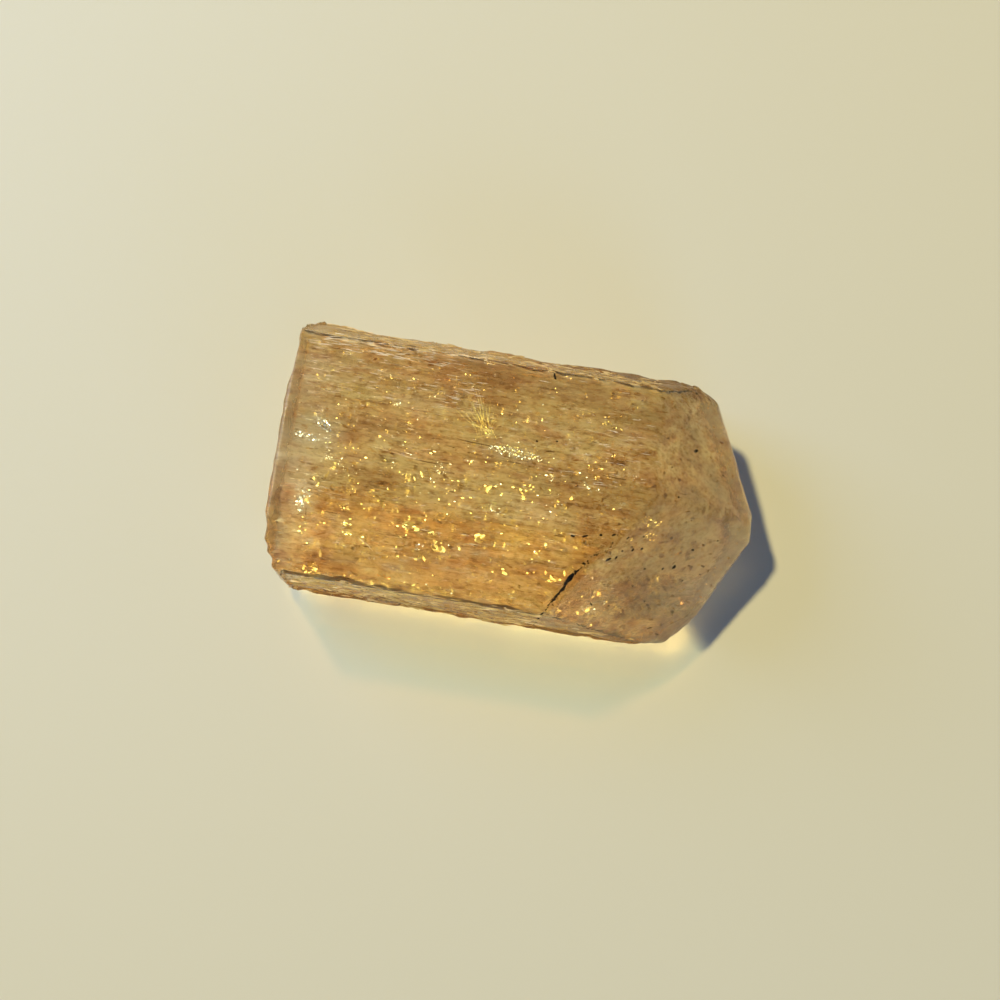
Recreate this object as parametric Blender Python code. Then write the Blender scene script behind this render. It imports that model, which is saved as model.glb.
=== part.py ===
"""A natural imperial topaz crystal, 29 mm long, lying on one of its prism faces.

The crystal is one solid. It is cut from a block by its own faces: eight prism faces that run along
its length, a worn many-faced termination at +X and a cleavage break across it at -X. The edges are
worn round, the prism faces carry striations along the length, the termination is pitted, and the
cleavage end has a step and a missing corner.

Metres, +Z up. The origin is on the surface that the crystal rests on, under the middle of its box.
"""
import math
import random

import bmesh
import bpy
from mathutils import Matrix, Vector, noise

MM = 0.001
ALONG = Vector((1.0, 0.0, 0.0))

# Overall size, along the crystal's length and from the face it rests on to the face on top
LENGTH = 29.5 * MM
THICKNESS = 11.8 * MM
HALF_THICKNESS = THICKNESS / 2
BLOCK_SIZE = 2 * LENGTH

# Prism faces: turn about the length from straight up towards +Y in degrees, and the distance
# from the crystal's centre line
PRISM_FACES = {
    "top": (0.0, HALF_THICKNESS),
    "top_slope": (18.7, 6.23 * MM),
    "back_upper": (74.5, 7.98 * MM),
    "back": (93.2, 8.28 * MM),
    "rest": (180.0, HALF_THICKNESS),
    "rest_slope": (198.7, 6.23 * MM),
    "front_lower": (254.5, 8.40 * MM),
    "front": (273.2, 8.28 * MM),
}

# Termination faces: turn about the length, lean away from the length axis, and distance from
# the crystal's centre
TERMINATION_FACES = {
    "dome": (-36.2, 50.2, 8.78 * MM),
    "pyramid_top": (18.7, 45.6, 9.85 * MM),
    "pyramid_front": (254.5, 45.6, 13.15 * MM),
    "pyramid_front_steep": (254.5, 28.0, 14.30 * MM),
    "pyramid_under": (198.7, 45.6, 12.05 * MM),
    "dome_under": (136.6, 43.65, 11.65 * MM),
    "worn_back_corner": (93.0, 69.0, 10.85 * MM),
}

# Corners of the cleavage end that are worn away, in the same terms
WORN_END_CORNERS = {
    "worn_end_back": (90.0, 120.0, 13.84 * MM),
    "worn_end_front": (270.0, 125.0, 14.10 * MM),
}
CLEAVAGE_DISTANCE = LENGTH / 2

# Worn edges: the radius of the rounding, and how many cuts shape it
PRISM_EDGE_RADIUS = 0.55 * MM
TERMINATION_EDGE_RADIUS = 1.25 * MM
CLEAVAGE_EDGE_RADIUS = 0.30 * MM
ROUNDING_STEPS = 4

# Striations on the prism faces, and the pits and hillocks on the termination
STRIA_PITCH = 0.40 * MM
STRIA_DEPTH = 0.17 * MM
STRIA_RIDGE_DEPTH = 0.02 * MM
STRIA_STATION_PITCH = 2.1 * MM
STRIA_FADE_LENGTH = 5.0 * MM
LINE_SPREAD = 7.3
PIT_PITCH = 0.80 * MM
PIT_DEPTH = 0.20 * MM
PIT_SIZE = 1.3 * MM
LINE_JITTER = 0.3
RELIEF_SEED = 11
SLIVER = 0.01 * MM

# Steps of the cleavage end: it stands back by the first size beyond the place across that comes
# second, on the side that the third gives, and the step leans by the angle in degrees
CLEAVAGE_STEPS = (
    (0.24 * MM, -3.1 * MM, -1, 9.0),
    (0.52 * MM, -4.8 * MM, -1, 6.0),
    (0.92 * MM, -5.9 * MM, -1, 3.0),
    (0.20 * MM, 3.9 * MM, 1, 12.0),
    (0.34 * MM, 6.2 * MM, 1, -5.0),
)

# The open crack where the top face meets the dome: places along and across the crystal
CRACK_ROUTE = (
    (2.45, -7.95), (2.63, -7.60), (3.17, -6.60), (3.98, -5.35), (4.70, -4.22), (5.59, -3.46),
    (6.18, -2.76), (6.45, -1.90),
)
CRACK_WIDTH = 0.36 * MM

# Chips broken from the long edges: place along, across and up, then radii along, across and up
CHIPS = (
    ((-11.9, 8.75, 6.3), (0.9, 0.75, 1.6)),
    ((-7.5, 8.70, 6.0), (1.1, 0.62, 1.5)),
    ((3.9, 8.72, 6.2), (1.0, 0.62, 1.4)),
    ((-4.7, -8.50, 12.1), (1.5, 0.80, 0.7)),
    ((13.7, 3.40, 4.8), (0.9, 0.80, 0.9)),
)

TOPAZ_COLOUR = (0.57, 0.31, 0.075, 1.0)
TOPAZ_ROUGHNESS = 0.18
TOPAZ_IOR = 1.62


def prism_normal(turn):
    """The outward direction of a prism face, turned about the length from straight up."""
    angle = math.radians(turn)
    return Vector((0.0, math.sin(angle), math.cos(angle)))


def termination_normal(turn, lean):
    """The outward direction of a termination face, leaning away from the length axis."""
    angle = math.radians(lean)
    return math.cos(angle) * ALONG + math.sin(angle) * prism_normal(turn)


def crystal_faces():
    """Every face of the crystal as name, outward direction, distance from the centre."""
    faces = []
    for name, (turn, distance) in PRISM_FACES.items():
        faces.append((name, prism_normal(turn), distance))
    for name, (turn, lean, distance) in (TERMINATION_FACES | WORN_END_CORNERS).items():
        faces.append((name, termination_normal(turn, lean), distance))
    faces.append(("cleavage", -ALONG, CLEAVAGE_DISTANCE))
    return faces


def cut_away(bm, point, normal):
    """Cut away all that lies outside a plane and close the cut."""
    cut = bmesh.ops.bisect_plane(
        bm, geom=bm.verts[:] + bm.edges[:] + bm.faces[:], dist=1e-8,
        plane_co=point, plane_no=normal, clear_outer=True,
    )
    rim = [item for item in cut["geom_cut"] if isinstance(item, bmesh.types.BMEdge)]
    if len(rim) > 2:
        bmesh.ops.edgeloop_fill(bm, edges=rim)


def sharp_crystal(centre):
    """The crystal with sharp edges, cut face by face from a block."""
    bm = bmesh.new()
    bmesh.ops.create_cube(bm, size=BLOCK_SIZE, matrix=Matrix.Translation(centre))
    for _name, normal, distance in crystal_faces():
        cut_away(bm, centre + normal * distance, normal)
    bmesh.ops.recalc_face_normals(bm, faces=bm.faces[:])
    return bm


def wear_radius(edge):
    """How round an edge is worn: most on the termination, least at the cleavage end."""
    leans = [face.normal.x for face in edge.link_faces]
    if min(leans) < -0.1:
        return CLEAVAGE_EDGE_RADIUS
    if max(leans) < 0.1:
        return PRISM_EDGE_RADIUS
    return TERMINATION_EDGE_RADIUS


def edge_rounding(edge):
    """The planes that round one edge, as a point and a direction each."""
    first, second = (face.normal for face in edge.link_faces)
    radius = wear_radius(edge)
    axis = edge.verts[0].co - radius * (first + second) / (1 + first.dot(second))
    planes = []
    for step in range(1, ROUNDING_STEPS):
        normal = first.slerp(second, step / ROUNDING_STEPS)
        planes.append((axis + normal * radius, normal))
    return planes


def corner_rounding(vert):
    """The plane that rounds one corner where three faces or more meet."""
    radius = min(wear_radius(edge) for edge in vert.link_edges)
    normals = [face.normal for face in vert.link_faces]
    inward = Matrix(normals[:3]).inverted() @ Vector((1.0, 1.0, 1.0))
    normal = sum(normals, Vector()).normalized()
    return (vert.co - radius * inward + normal * radius, normal)


def wear_edges(bm):
    """Round every edge and corner with narrow cuts."""
    planes = [plane for edge in bm.edges for plane in edge_rounding(edge)]
    planes += [corner_rounding(vert) for vert in bm.verts]
    for point, normal in planes:
        cut_away(bm, point, normal)
    bmesh.ops.recalc_face_normals(bm, faces=bm.faces[:])


def flat_of(bm, centre, normal, distance):
    """The mesh faces that lie in one crystal face."""
    flat = []
    for face in bm.faces:
        offset = (face.calc_center_median() - centre).dot(normal) - distance
        if face.normal.dot(normal) > 0.9999 and abs(offset) < SLIVER:
            flat.append(face)
    return flat


def score(bm, faces, direction, pitch, rng):
    """Cut straight lines across a flat, a pitch apart along the direction."""
    corners = [vert.co.dot(direction) for face in faces for vert in face.verts]
    low = min(corners)
    count = max(2, round((max(corners) - low) / pitch))
    step = (max(corners) - low) / count
    for line in range(1, count):
        place = low + step * (line + rng.uniform(-LINE_JITTER, LINE_JITTER))
        verts = list(dict.fromkeys(vert for face in faces for vert in face.verts))
        edges = list(dict.fromkeys(edge for face in faces for edge in face.edges))
        cut = bmesh.ops.bisect_plane(
            bm, geom=verts + edges + faces, dist=1e-7,
            plane_co=direction * place, plane_no=direction,
        )
        faces = [item for item in cut["geom"] if isinstance(item, bmesh.types.BMFace)]
    return faces


def inner_verts(faces):
    """The corners that lie inside a scored flat, away from its border."""
    inside = set(faces)
    verts = dict.fromkeys(vert for face in faces for vert in face.verts)
    return [vert for vert in verts if all(face in inside for face in vert.link_faces)]


def striate(bm, centre, normal, distance, rng):
    """Sink every other line of a prism face, so that ridges run along the crystal."""
    across = normal.cross(ALONG).normalized()
    faces = score(bm, flat_of(bm, centre, normal, distance), across, STRIA_PITCH, rng)
    faces = score(bm, faces, ALONG, STRIA_STATION_PITCH, rng)
    verts = inner_verts(faces)
    grain = STRIA_PITCH / 20
    lines = sorted({round(vert.co.dot(across) / grain) for vert in verts})
    for vert in verts:
        line = lines.index(round(vert.co.dot(across) / grain))
        depth = STRIA_DEPTH if line % 2 else STRIA_RIDGE_DEPTH
        fade = noise.noise(Vector((vert.co.x / STRIA_FADE_LENGTH, line * LINE_SPREAD, normal.z)))
        vert.co -= normal * depth * (0.65 + 0.7 * fade)


def pit(bm, centre, normal, distance, rng):
    """Give a termination face its pits and low hillocks."""
    across = normal.cross(Vector((0.0, 0.0, 1.0))).normalized()
    up = across.cross(normal).normalized()
    faces = score(bm, flat_of(bm, centre, normal, distance), across, PIT_PITCH, rng)
    faces = score(bm, faces, up, PIT_PITCH, rng)
    for vert in inner_verts(faces):
        vert.co -= normal * PIT_DEPTH * (0.5 + 0.5 * noise.noise(vert.co / PIT_SIZE))


def middle_of(bm):
    """The middle of the crystal's box, on the resting surface."""
    low_x, high_x = (limit(vert.co.x for vert in bm.verts) for limit in (min, max))
    low_y, high_y = (limit(vert.co.y for vert in bm.verts) for limit in (min, max))
    return Vector(((low_x + high_x) / 2, (low_y + high_y) / 2, 0.0))


def worn_crystal(centre):
    """The crystal's mesh with worn edges, striations and pits, over the middle of the origin."""
    rng = random.Random(RELIEF_SEED)
    bm = sharp_crystal(centre)
    wear_edges(bm)
    for name, (turn, distance) in PRISM_FACES.items():
        if name != "rest":
            striate(bm, centre, prism_normal(turn), distance, rng)
    for turn, lean, distance in TERMINATION_FACES.values():
        normal = termination_normal(turn, lean)
        if flat_of(bm, centre, normal, distance):
            pit(bm, centre, normal, distance, rng)
    bmesh.ops.triangulate(bm, faces=bm.faces[:])
    bmesh.ops.dissolve_degenerate(bm, dist=SLIVER, edges=bm.edges[:])
    bmesh.ops.triangulate(bm, faces=bm.faces[:])
    bmesh.ops.translate(bm, verts=bm.verts[:], vec=-middle_of(bm))
    mesh = bpy.data.meshes.new("topaz_crystal")
    bm.to_mesh(mesh)
    bm.free()
    return mesh


def surface_height(centre, along, across):
    """How high the upper side of the crystal's faces is above a place on the resting surface."""
    heights = []
    for _name, normal, distance in crystal_faces():
        if normal.z > 0.05:
            reach = distance - normal.x * along - normal.y * across
            heights.append(centre.z + reach / normal.z)
    return min(heights)


def topaz_material():
    """Golden brown topaz."""
    material = bpy.data.materials.new("topaz")
    material.use_nodes = True
    shader = material.node_tree.nodes["Principled BSDF"]
    shader.inputs["Base Color"].default_value = TOPAZ_COLOUR
    shader.inputs["Roughness"].default_value = TOPAZ_ROUGHNESS
    shader.inputs["Metallic"].default_value = 0.0
    shader.inputs["IOR"].default_value = TOPAZ_IOR
    material.diffuse_color = TOPAZ_COLOUR
    return material


def new_collection(name):
    collection = bpy.data.collections.new(name)
    bpy.context.scene.collection.children.link(collection)
    return collection


def add_cutter(crystal, cutter, collection):
    """Hide a cutter and subtract it from the crystal."""
    for owner in cutter.users_collection:
        owner.objects.unlink(cutter)
    collection.objects.link(cutter)
    cutter.hide_render = True
    cutter.display_type = "WIRE"
    cut = crystal.modifiers.new(cutter.name, "BOOLEAN")
    cut.operation = "DIFFERENCE"
    cut.solver = "EXACT"
    cut.object = cutter


def cleavage_step_cutter(number, setback, edge, side, lean):
    """A slab that sets one side of the cleavage end back."""
    bpy.ops.mesh.primitive_cube_add(size=1.0)
    cutter = bpy.context.object
    cutter.name = f"cleavage_step_cutter_{number}"
    cutter.scale = (2 * setback, LENGTH, 2 * LENGTH)
    cutter.rotation_euler = (math.radians(lean), 0.0, 0.0)
    cutter.location = (-CLEAVAGE_DISTANCE, edge + side * LENGTH / 2, HALF_THICKNESS)
    return cutter


def chip_cutter(number, place, radii):
    """An ellipsoid that leaves one shell-shaped chip."""
    bpy.ops.mesh.primitive_uv_sphere_add(segments=18, ring_count=12, radius=1.0)
    cutter = bpy.context.object
    cutter.name = f"chip_cutter_{number}"
    cutter.location = Vector(place) * MM
    cutter.scale = Vector(radii) * MM
    cutter.rotation_euler = (0.35 * number, 0.5, 0.2)
    return cutter


def crack_cutter(centre):
    """A thin round bar along the crack, half sunk in the surface."""
    curve = bpy.data.curves.new("crack_cutter", "CURVE")
    curve.dimensions = "3D"
    curve.bevel_depth = CRACK_WIDTH / 2
    curve.bevel_resolution = 1
    curve.fill_mode = "FULL"
    curve.use_fill_caps = True
    spline = curve.splines.new("POLY")
    spline.points.add(len(CRACK_ROUTE) - 1)
    for point, (along, across) in zip(spline.points, CRACK_ROUTE):
        height = surface_height(centre, along * MM, across * MM) - CRACK_WIDTH / 3
        point.co = (along * MM, across * MM, height, 1.0)
    guide = bpy.data.objects.new("crack_guide", curve)
    bpy.context.scene.collection.objects.link(guide)
    graph = bpy.context.evaluated_depsgraph_get()
    mesh = bpy.data.meshes.new_from_object(guide.evaluated_get(graph))
    bm = bmesh.new()
    bm.from_mesh(mesh)
    bmesh.ops.remove_doubles(bm, verts=bm.verts[:], dist=1e-6)
    bmesh.ops.recalc_face_normals(bm, faces=bm.faces[:])
    bm.to_mesh(mesh)
    bm.free()
    bpy.data.objects.remove(guide)
    cutter = bpy.data.objects.new("crack_cutter", mesh)
    bpy.context.scene.collection.objects.link(cutter)
    return cutter


def main():
    for old in list(bpy.data.objects):
        bpy.data.objects.remove(old)
    centre = Vector((0.0, 0.0, HALF_THICKNESS))
    parts = new_collection("imperial_topaz_crystal")
    cutters = new_collection("cutters")
    crystal = bpy.data.objects.new("topaz_crystal", worn_crystal(centre))
    crystal.data.materials.append(topaz_material())
    parts.objects.link(crystal)
    for number, step in enumerate(CLEAVAGE_STEPS, start=1):
        add_cutter(crystal, cleavage_step_cutter(number, *step), cutters)
    for number, (place, radii) in enumerate(CHIPS, start=1):
        add_cutter(crystal, chip_cutter(number, place, radii), cutters)
    add_cutter(crystal, crack_cutter(centre), cutters)


main()
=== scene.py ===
"""The imperial topaz crystal as it looks: a see-through golden crystal with worn, striated faces,
full of flakes, growth tubes and healed cracks, lying on pale paper."""

import math
import random

import bmesh
import bpy
import numpy as np
from bpy.props import (
    FloatProperty, FloatVectorProperty, IntProperty, PointerProperty,
)
from mathutils import Euler, Matrix, Vector
from mathutils.bvhtree import BVHTree


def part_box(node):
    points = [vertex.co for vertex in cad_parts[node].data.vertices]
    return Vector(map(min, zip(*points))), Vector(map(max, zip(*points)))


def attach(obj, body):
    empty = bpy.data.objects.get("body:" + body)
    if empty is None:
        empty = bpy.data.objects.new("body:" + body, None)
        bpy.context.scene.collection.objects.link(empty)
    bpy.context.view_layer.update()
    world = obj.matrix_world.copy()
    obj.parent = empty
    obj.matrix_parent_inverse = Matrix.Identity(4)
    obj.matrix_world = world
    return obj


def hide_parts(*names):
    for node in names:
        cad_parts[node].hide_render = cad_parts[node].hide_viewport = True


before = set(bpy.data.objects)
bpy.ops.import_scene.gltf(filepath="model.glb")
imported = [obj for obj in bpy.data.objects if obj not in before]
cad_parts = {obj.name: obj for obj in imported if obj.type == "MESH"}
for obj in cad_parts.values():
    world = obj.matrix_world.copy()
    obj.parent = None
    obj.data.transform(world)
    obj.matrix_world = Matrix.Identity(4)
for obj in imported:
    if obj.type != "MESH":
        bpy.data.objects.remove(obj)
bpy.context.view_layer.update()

bl_info = {
    "name": "Imperial Topaz Crystal",
    "version": (1, 0, 0),
    "blender": (4, 5, 0),
    "location": "View3D > Sidebar > Topaz",
    "description": "Builds a worn, striated topaz crystal with its inclusions on a studio stage",
    "category": "Add Mesh",
}

MM = 0.001
ALONG = Vector((1.0, 0.0, 0.0))
NODE = "topaz_crystal"
BODY = "root"
LOW, HIGH = (Vector(corner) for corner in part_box(NODE))
THICKNESS = HIGH.z - LOW.z
CENTRE = Vector((0.0, 0.0, THICKNESS / 2))
MEAN_RADIUS = 7.2 * MM

# The crystal's faces, as in its solid model: turn about the length from straight up towards +Y,
# lean away from the length axis, and distance from the crystal's centre
PRISM_FACES = {
    "top": (0.0, 90.0, THICKNESS / 2),
    "top_slope": (18.7, 90.0, 6.23 * MM),
    "back_upper": (74.5, 90.0, 7.98 * MM),
    "back": (93.2, 90.0, 8.28 * MM),
    "rest": (180.0, 90.0, THICKNESS / 2),
    "rest_slope": (198.7, 90.0, 6.23 * MM),
    "front_lower": (254.5, 90.0, 8.40 * MM),
    "front": (273.2, 90.0, 8.28 * MM),
}
END_FACES = {
    "dome": (-36.2, 50.2, 8.78 * MM),
    "pyramid_top": (18.7, 45.6, 9.85 * MM),
    "pyramid_front": (254.5, 45.6, 13.15 * MM),
    "pyramid_front_steep": (254.5, 28.0, 14.30 * MM),
    "pyramid_under": (198.7, 45.6, 12.05 * MM),
    "dome_under": (136.6, 43.65, 11.65 * MM),
    "worn_back_corner": (93.0, 69.0, 10.85 * MM),
    "worn_end_back": (90.0, 120.0, 13.84 * MM),
    "worn_end_front": (270.0, 125.0, 14.10 * MM),
    "cleavage": (0.0, 180.0, 14.75 * MM),
}
FACES = PRISM_FACES | END_FACES

# Steps of the broken end, in millimetres and degrees: how far each stands back, the place across
# where it begins, its side and its lean
CLEAVAGE_STEPS = (
    (0.24, -3.1, -1, 9.0), (0.52, -4.8, -1, 6.0), (0.92, -5.9, -1, 3.0), (0.20, 3.9, 1, 12.0),
    (0.34, 6.2, 1, -5.0),
)

# Shell-shaped chips in millimetres: middle, then radii
CHIPS = (
    ((-11.9, 8.75, 6.3), (0.9, 0.75, 1.6)),
    ((-7.5, 8.70, 6.0), (1.1, 0.62, 1.5)),
    ((3.9, 8.72, 6.2), (1.0, 0.62, 1.4)),
    ((-4.7, -8.50, 12.1), (1.5, 0.80, 0.7)),
    ((13.7, 3.40, 4.8), (0.9, 0.80, 0.9)),
)

# The open crack where the top face meets the dome: place along, across and half width
CRACK = (
    (2.45, -7.95, 0.03), (2.71, -7.74, 0.05), (3.05, -7.10, 0.04), (3.36, -6.54, 0.06),
    (3.74, -5.93, 0.08), (4.05, -5.27, 0.08), (4.55, -4.58, 0.05), (5.04, -3.89, 0.03),
    (5.58, -3.50, 0.03), (6.20, -3.05, 0.03), (6.47, -2.10, 0.03),
)


def size_property(name, description, size):
    """A length that can be changed in the sidebar, in metres."""
    return FloatProperty(name=name, description=description, default=size, subtype="DISTANCE",
                         unit="LENGTH")


class TopazShape(bpy.types.PropertyGroup):
    """Sizes of the crystal's worn surface."""
    prism_edge_radius: size_property(
        "Prism edge radius", "How round the long edges are worn", 0.36 * MM)
    end_edge_radius: size_property(
        "Termination edge radius", "How round the edges of the point are worn", 1.25 * MM)
    cleavage_edge_radius: size_property(
        "Cleavage edge radius", "How round the broken end's edges are worn", 0.30 * MM)
    cell: size_property(
        "Cell", "Size of the surface's mesh cells across the crystal", 0.105 * MM)
    stria_depth: size_property(
        "Striation depth", "Depth of the ridges along the prism faces", 0.07 * MM)
    pit_depth: size_property(
        "Pit depth", "Depth of the pits on the termination", 0.10 * MM)
    nick_depth: size_property(
        "Nick depth", "Depth of the nicks along the worn edges", 0.14 * MM)
    break_depth: size_property(
        "Break depth", "Unevenness of the broken end", 0.10 * MM)


class TopazLook(bpy.types.PropertyGroup):
    """Colours of the crystal and what is in it."""
    body: FloatVectorProperty(
        name="Body colour", description="Colour that passes through the clear crystal",
        default=(0.74, 0.57, 0.11), subtype="COLOR", size=3, min=0.0, max=1.0)
    density: FloatProperty(
        name="Absorption", description="Absorption of the crystal in one metre",
        default=42.0, min=0.0)
    ior: FloatProperty(
        name="IOR", description="Refractive index of topaz", default=1.62, min=1.0)
    paper: FloatVectorProperty(
        name="Paper", description="Colour of the paper", default=(0.70, 0.64, 0.50),
        subtype="COLOR", size=3, min=0.0, max=1.0)
    seed: IntProperty(name="Seed", description="Seed of all that is random", default=7)


def face_normal(turn, lean):
    """The outward direction of a face from its turn and lean."""
    turn = math.radians(turn)
    lean = math.radians(lean)
    round_axis = Vector((0.0, math.sin(turn), math.cos(turn)))
    return math.cos(lean) * ALONG + math.sin(lean) * round_axis


def link_object(name, data):
    """Put a mesh, curve, lamp or camera into the scene."""
    made = bpy.data.objects.new(name, data)
    bpy.context.scene.collection.objects.link(made)
    return made


def new_mesh_object(name, bm):
    mesh = bpy.data.meshes.new(name)
    bm.to_mesh(mesh)
    bm.free()
    return link_object(name, mesh)


def evaluated_mesh(piece):
    """A plain mesh of an object with its modifiers applied."""
    graph = bpy.context.evaluated_depsgraph_get()
    return bpy.data.meshes.new_from_object(piece.evaluated_get(graph))


def cut_away(bm, point, normal):
    """Cut away all that lies outside a plane and close the cut."""
    cut = bmesh.ops.bisect_plane(
        bm, geom=bm.verts[:] + bm.edges[:] + bm.faces[:], dist=1e-8,
        plane_co=point, plane_no=normal, clear_outer=True)
    rim = [item for item in cut["geom_cut"] if isinstance(item, bmesh.types.BMEdge)]
    if len(rim) > 2:
        bmesh.ops.edgeloop_fill(bm, edges=rim)


def sharp_crystal(inset=0.0):
    """The crystal with sharp edges, cut face by face from a block, all faces moved in by inset."""
    bm = bmesh.new()
    bmesh.ops.create_cube(bm, size=0.08, matrix=Matrix.Translation(CENTRE))
    for turn, lean, distance in FACES.values():
        normal = face_normal(turn, lean)
        cut_away(bm, CENTRE + normal * (distance - inset), normal)
    bmesh.ops.recalc_face_normals(bm, faces=bm.faces[:])
    return bm


def wear_radius(edge, shape):
    leans = [face.normal.x for face in edge.link_faces]
    if min(leans) < -0.1:
        return shape.cleavage_edge_radius
    if max(leans) < 0.1:
        return shape.prism_edge_radius
    return shape.end_edge_radius


def rounding_planes(bm, shape, steps=7):
    """The planes that round every edge and corner, as a point and a direction each."""
    planes = []
    for edge in bm.edges:
        first, second = (face.normal for face in edge.link_faces)
        radius = wear_radius(edge, shape)
        axis = edge.verts[0].co - radius * (first + second) / (1 + first.dot(second))
        for step in range(1, steps):
            normal = first.slerp(second, step / steps)
            planes.append((axis + normal * radius, normal))
    for vert in bm.verts:
        radius = min(wear_radius(edge, shape) for edge in vert.link_edges)
        normals = [face.normal for face in vert.link_faces]
        inward = Matrix(normals[:3]).inverted() @ Vector((1.0, 1.0, 1.0))
        normal = sum(normals, Vector()).normalized()
        planes.append((vert.co - radius * inward + normal * radius, normal))
    return planes


def even_cells(piece, cell, squeeze):
    """Remesh a solid in even cells that are longer along the crystal by the squeeze."""
    piece.data.transform(Matrix.Diagonal((1 / squeeze, 1.0, 1.0, 1.0)))
    remesh = piece.modifiers.new("cells", "REMESH")
    remesh.mode = "VOXEL"
    remesh.voxel_size = cell
    mesh = evaluated_mesh(piece)
    piece.modifiers.clear()
    piece.data = mesh
    mesh.transform(Matrix.Diagonal((squeeze, 1.0, 1.0, 1.0)))


def lattice_noise(first, second, seed):
    """Smooth random values from 0 to 1 over two coordinates, one new value each whole step."""
    table = np.random.default_rng(seed).random(8192)
    column = np.floor(first).astype(np.int64)
    row = np.floor(second).astype(np.int64)
    blend_x = first - column
    blend_y = second - row
    blend_x = blend_x * blend_x * (3 - 2 * blend_x)

    def value(x, y):
        return table[(x * 7919 + y * 104729) % 8192]

    low = value(column, row) * (1 - blend_x) + value(column + 1, row) * blend_x
    high = value(column, row + 1) * (1 - blend_x) + value(column + 1, row + 1) * blend_x
    return low * (1 - blend_y) + high * blend_y


def face_shares(points):
    """For each point the name index of its face, and how far it is from that face's edge."""
    normals = np.array([face_normal(turn, lean) for turn, lean, _ in FACES.values()])
    distances = np.array([distance for _, _, distance in FACES.values()])
    outside = (points - np.array(CENTRE)) @ normals.T - distances
    order = np.argsort(outside, axis=1)
    rows = np.arange(len(points))
    nearest = order[:, -1]
    gap = outside[rows, nearest] - outside[rows, order[:, -2]]
    return nearest, gap, normals[nearest]


def round_coordinate(points):
    """Distance round the prism, so that striations run on over its long edges."""
    turn = np.arctan2(points[:, 1], points[:, 2] - CENTRE.z)
    return turn * MEAN_RADIUS


# Ridges along the prism: pitch and length in mm, and share of the striation depth
RIDGES = ((1.30, 14.0, 0.5), (0.52, 8.0, 0.7), (0.23, 4.5, 0.32))
# Pits of the termination: pitch in mm and share of the pit depth
PITS = ((1.7, 0.5), (0.75, 0.35), (0.34, 0.22))
# How many times deeper than the striations the ledges of the steep sides are
LEDGE_SHARE = 4.2


def prism_relief(points, steep, shape, seed):
    """Striations: ridges that run along the crystal, fade out and begin again; deeper on the
    steep sides."""
    along = points[:, 0]
    across = round_coordinate(points)
    depth = np.zeros(len(points))
    for number, (pitch, length, share) in enumerate(RIDGES):
        ridges = lattice_noise(along / (length * MM), across / (pitch * MM), seed + number)
        depth += share * shape.stria_depth * ridges
    ledge = lattice_noise(along / (6.0 * MM), across / (0.9 * MM), seed + 9)
    depth += 0.5 * shape.stria_depth * np.clip((ledge - 0.55) * 14, 0, 1)
    terraces = lattice_noise(along / (2.4 * MM), across / (0.80 * MM), seed + 12)
    depth += np.where(steep, LEDGE_SHARE * shape.stria_depth * terraces, 0.0)
    return depth


def end_relief(points, shape, seed):
    """Pits and hillocks of the termination."""
    depth = np.zeros(len(points))
    for number, (pitch, share) in enumerate(PITS):
        first = (points[:, 1] + 0.6 * points[:, 2]) / (pitch * MM)
        second = (points[:, 2] - 0.8 * points[:, 1] + 0.7 * points[:, 0]) / (pitch * MM)
        depth += share * shape.pit_depth * lattice_noise(first, second, seed + 20 + number)
    return depth


def edge_nicks(points, gap, shape, seed):
    """Small nicks where the edges are worn."""
    first = (points[:, 0] + 0.3 * points[:, 1]) / (0.60 * MM)
    second = (points[:, 1] - points[:, 2]) / (0.50 * MM)
    nicks = np.clip(lattice_noise(first, second, seed + 30) * 1.7 - 0.5, 0, 1)
    return shape.nick_depth * nicks * np.exp(-gap / (0.40 * MM))


# Where the ridges fade in at the broken end and the pits towards the point, and over what length
RIDGES_FROM, RIDGES_OVER = -14.6 * MM, 0.5 * MM
PITS_FROM, PITS_OVER = 2 * MM, 12 * MM
# Edges are nicked this far out to the sides or this far along, and above this height
NICKS_ACROSS, NICKS_ALONG, NICKS_ABOVE = 6 * MM, 13 * MM, 1.5 * MM


def fade_in(values, start, length):
    """0 up to the start, then evenly up to 1."""
    return np.clip((values - start) / length, 0, 1)


def sink_surface(points, shape, seed):
    """Push every point in by the relief of its face; the resting face stays flat."""
    names = list(FACES)
    nearest, gap, normals = face_shares(points)
    prism = np.isin(nearest, [names.index(name) for name in PRISM_FACES])
    steep = np.isin(nearest, [names.index(name) for name in ("front", "back", "back_upper")])
    resting = nearest == names.index("rest")
    blend = fade_in(points[:, 0], PITS_FROM, PITS_OVER)
    depth = np.where(prism, prism_relief(points, steep, shape, seed), 0.0)
    depth *= fade_in(points[:, 0], RIDGES_FROM, RIDGES_OVER)
    pits = end_relief(points, shape, seed)
    depth += np.where(prism, 0.35 * blend * pits, np.where(normals[:, 0] > 0.05, pits, 0.0))
    outer = (np.abs(points[:, 1]) > NICKS_ACROSS) | (points[:, 0] > NICKS_ALONG)
    outer &= points[:, 2] > NICKS_ABOVE
    depth += np.where(outer, edge_nicks(points, gap, shape, seed), 0.0)
    depth = np.where(resting, 0.0, depth)
    return points - normals * depth[:, None]


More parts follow.
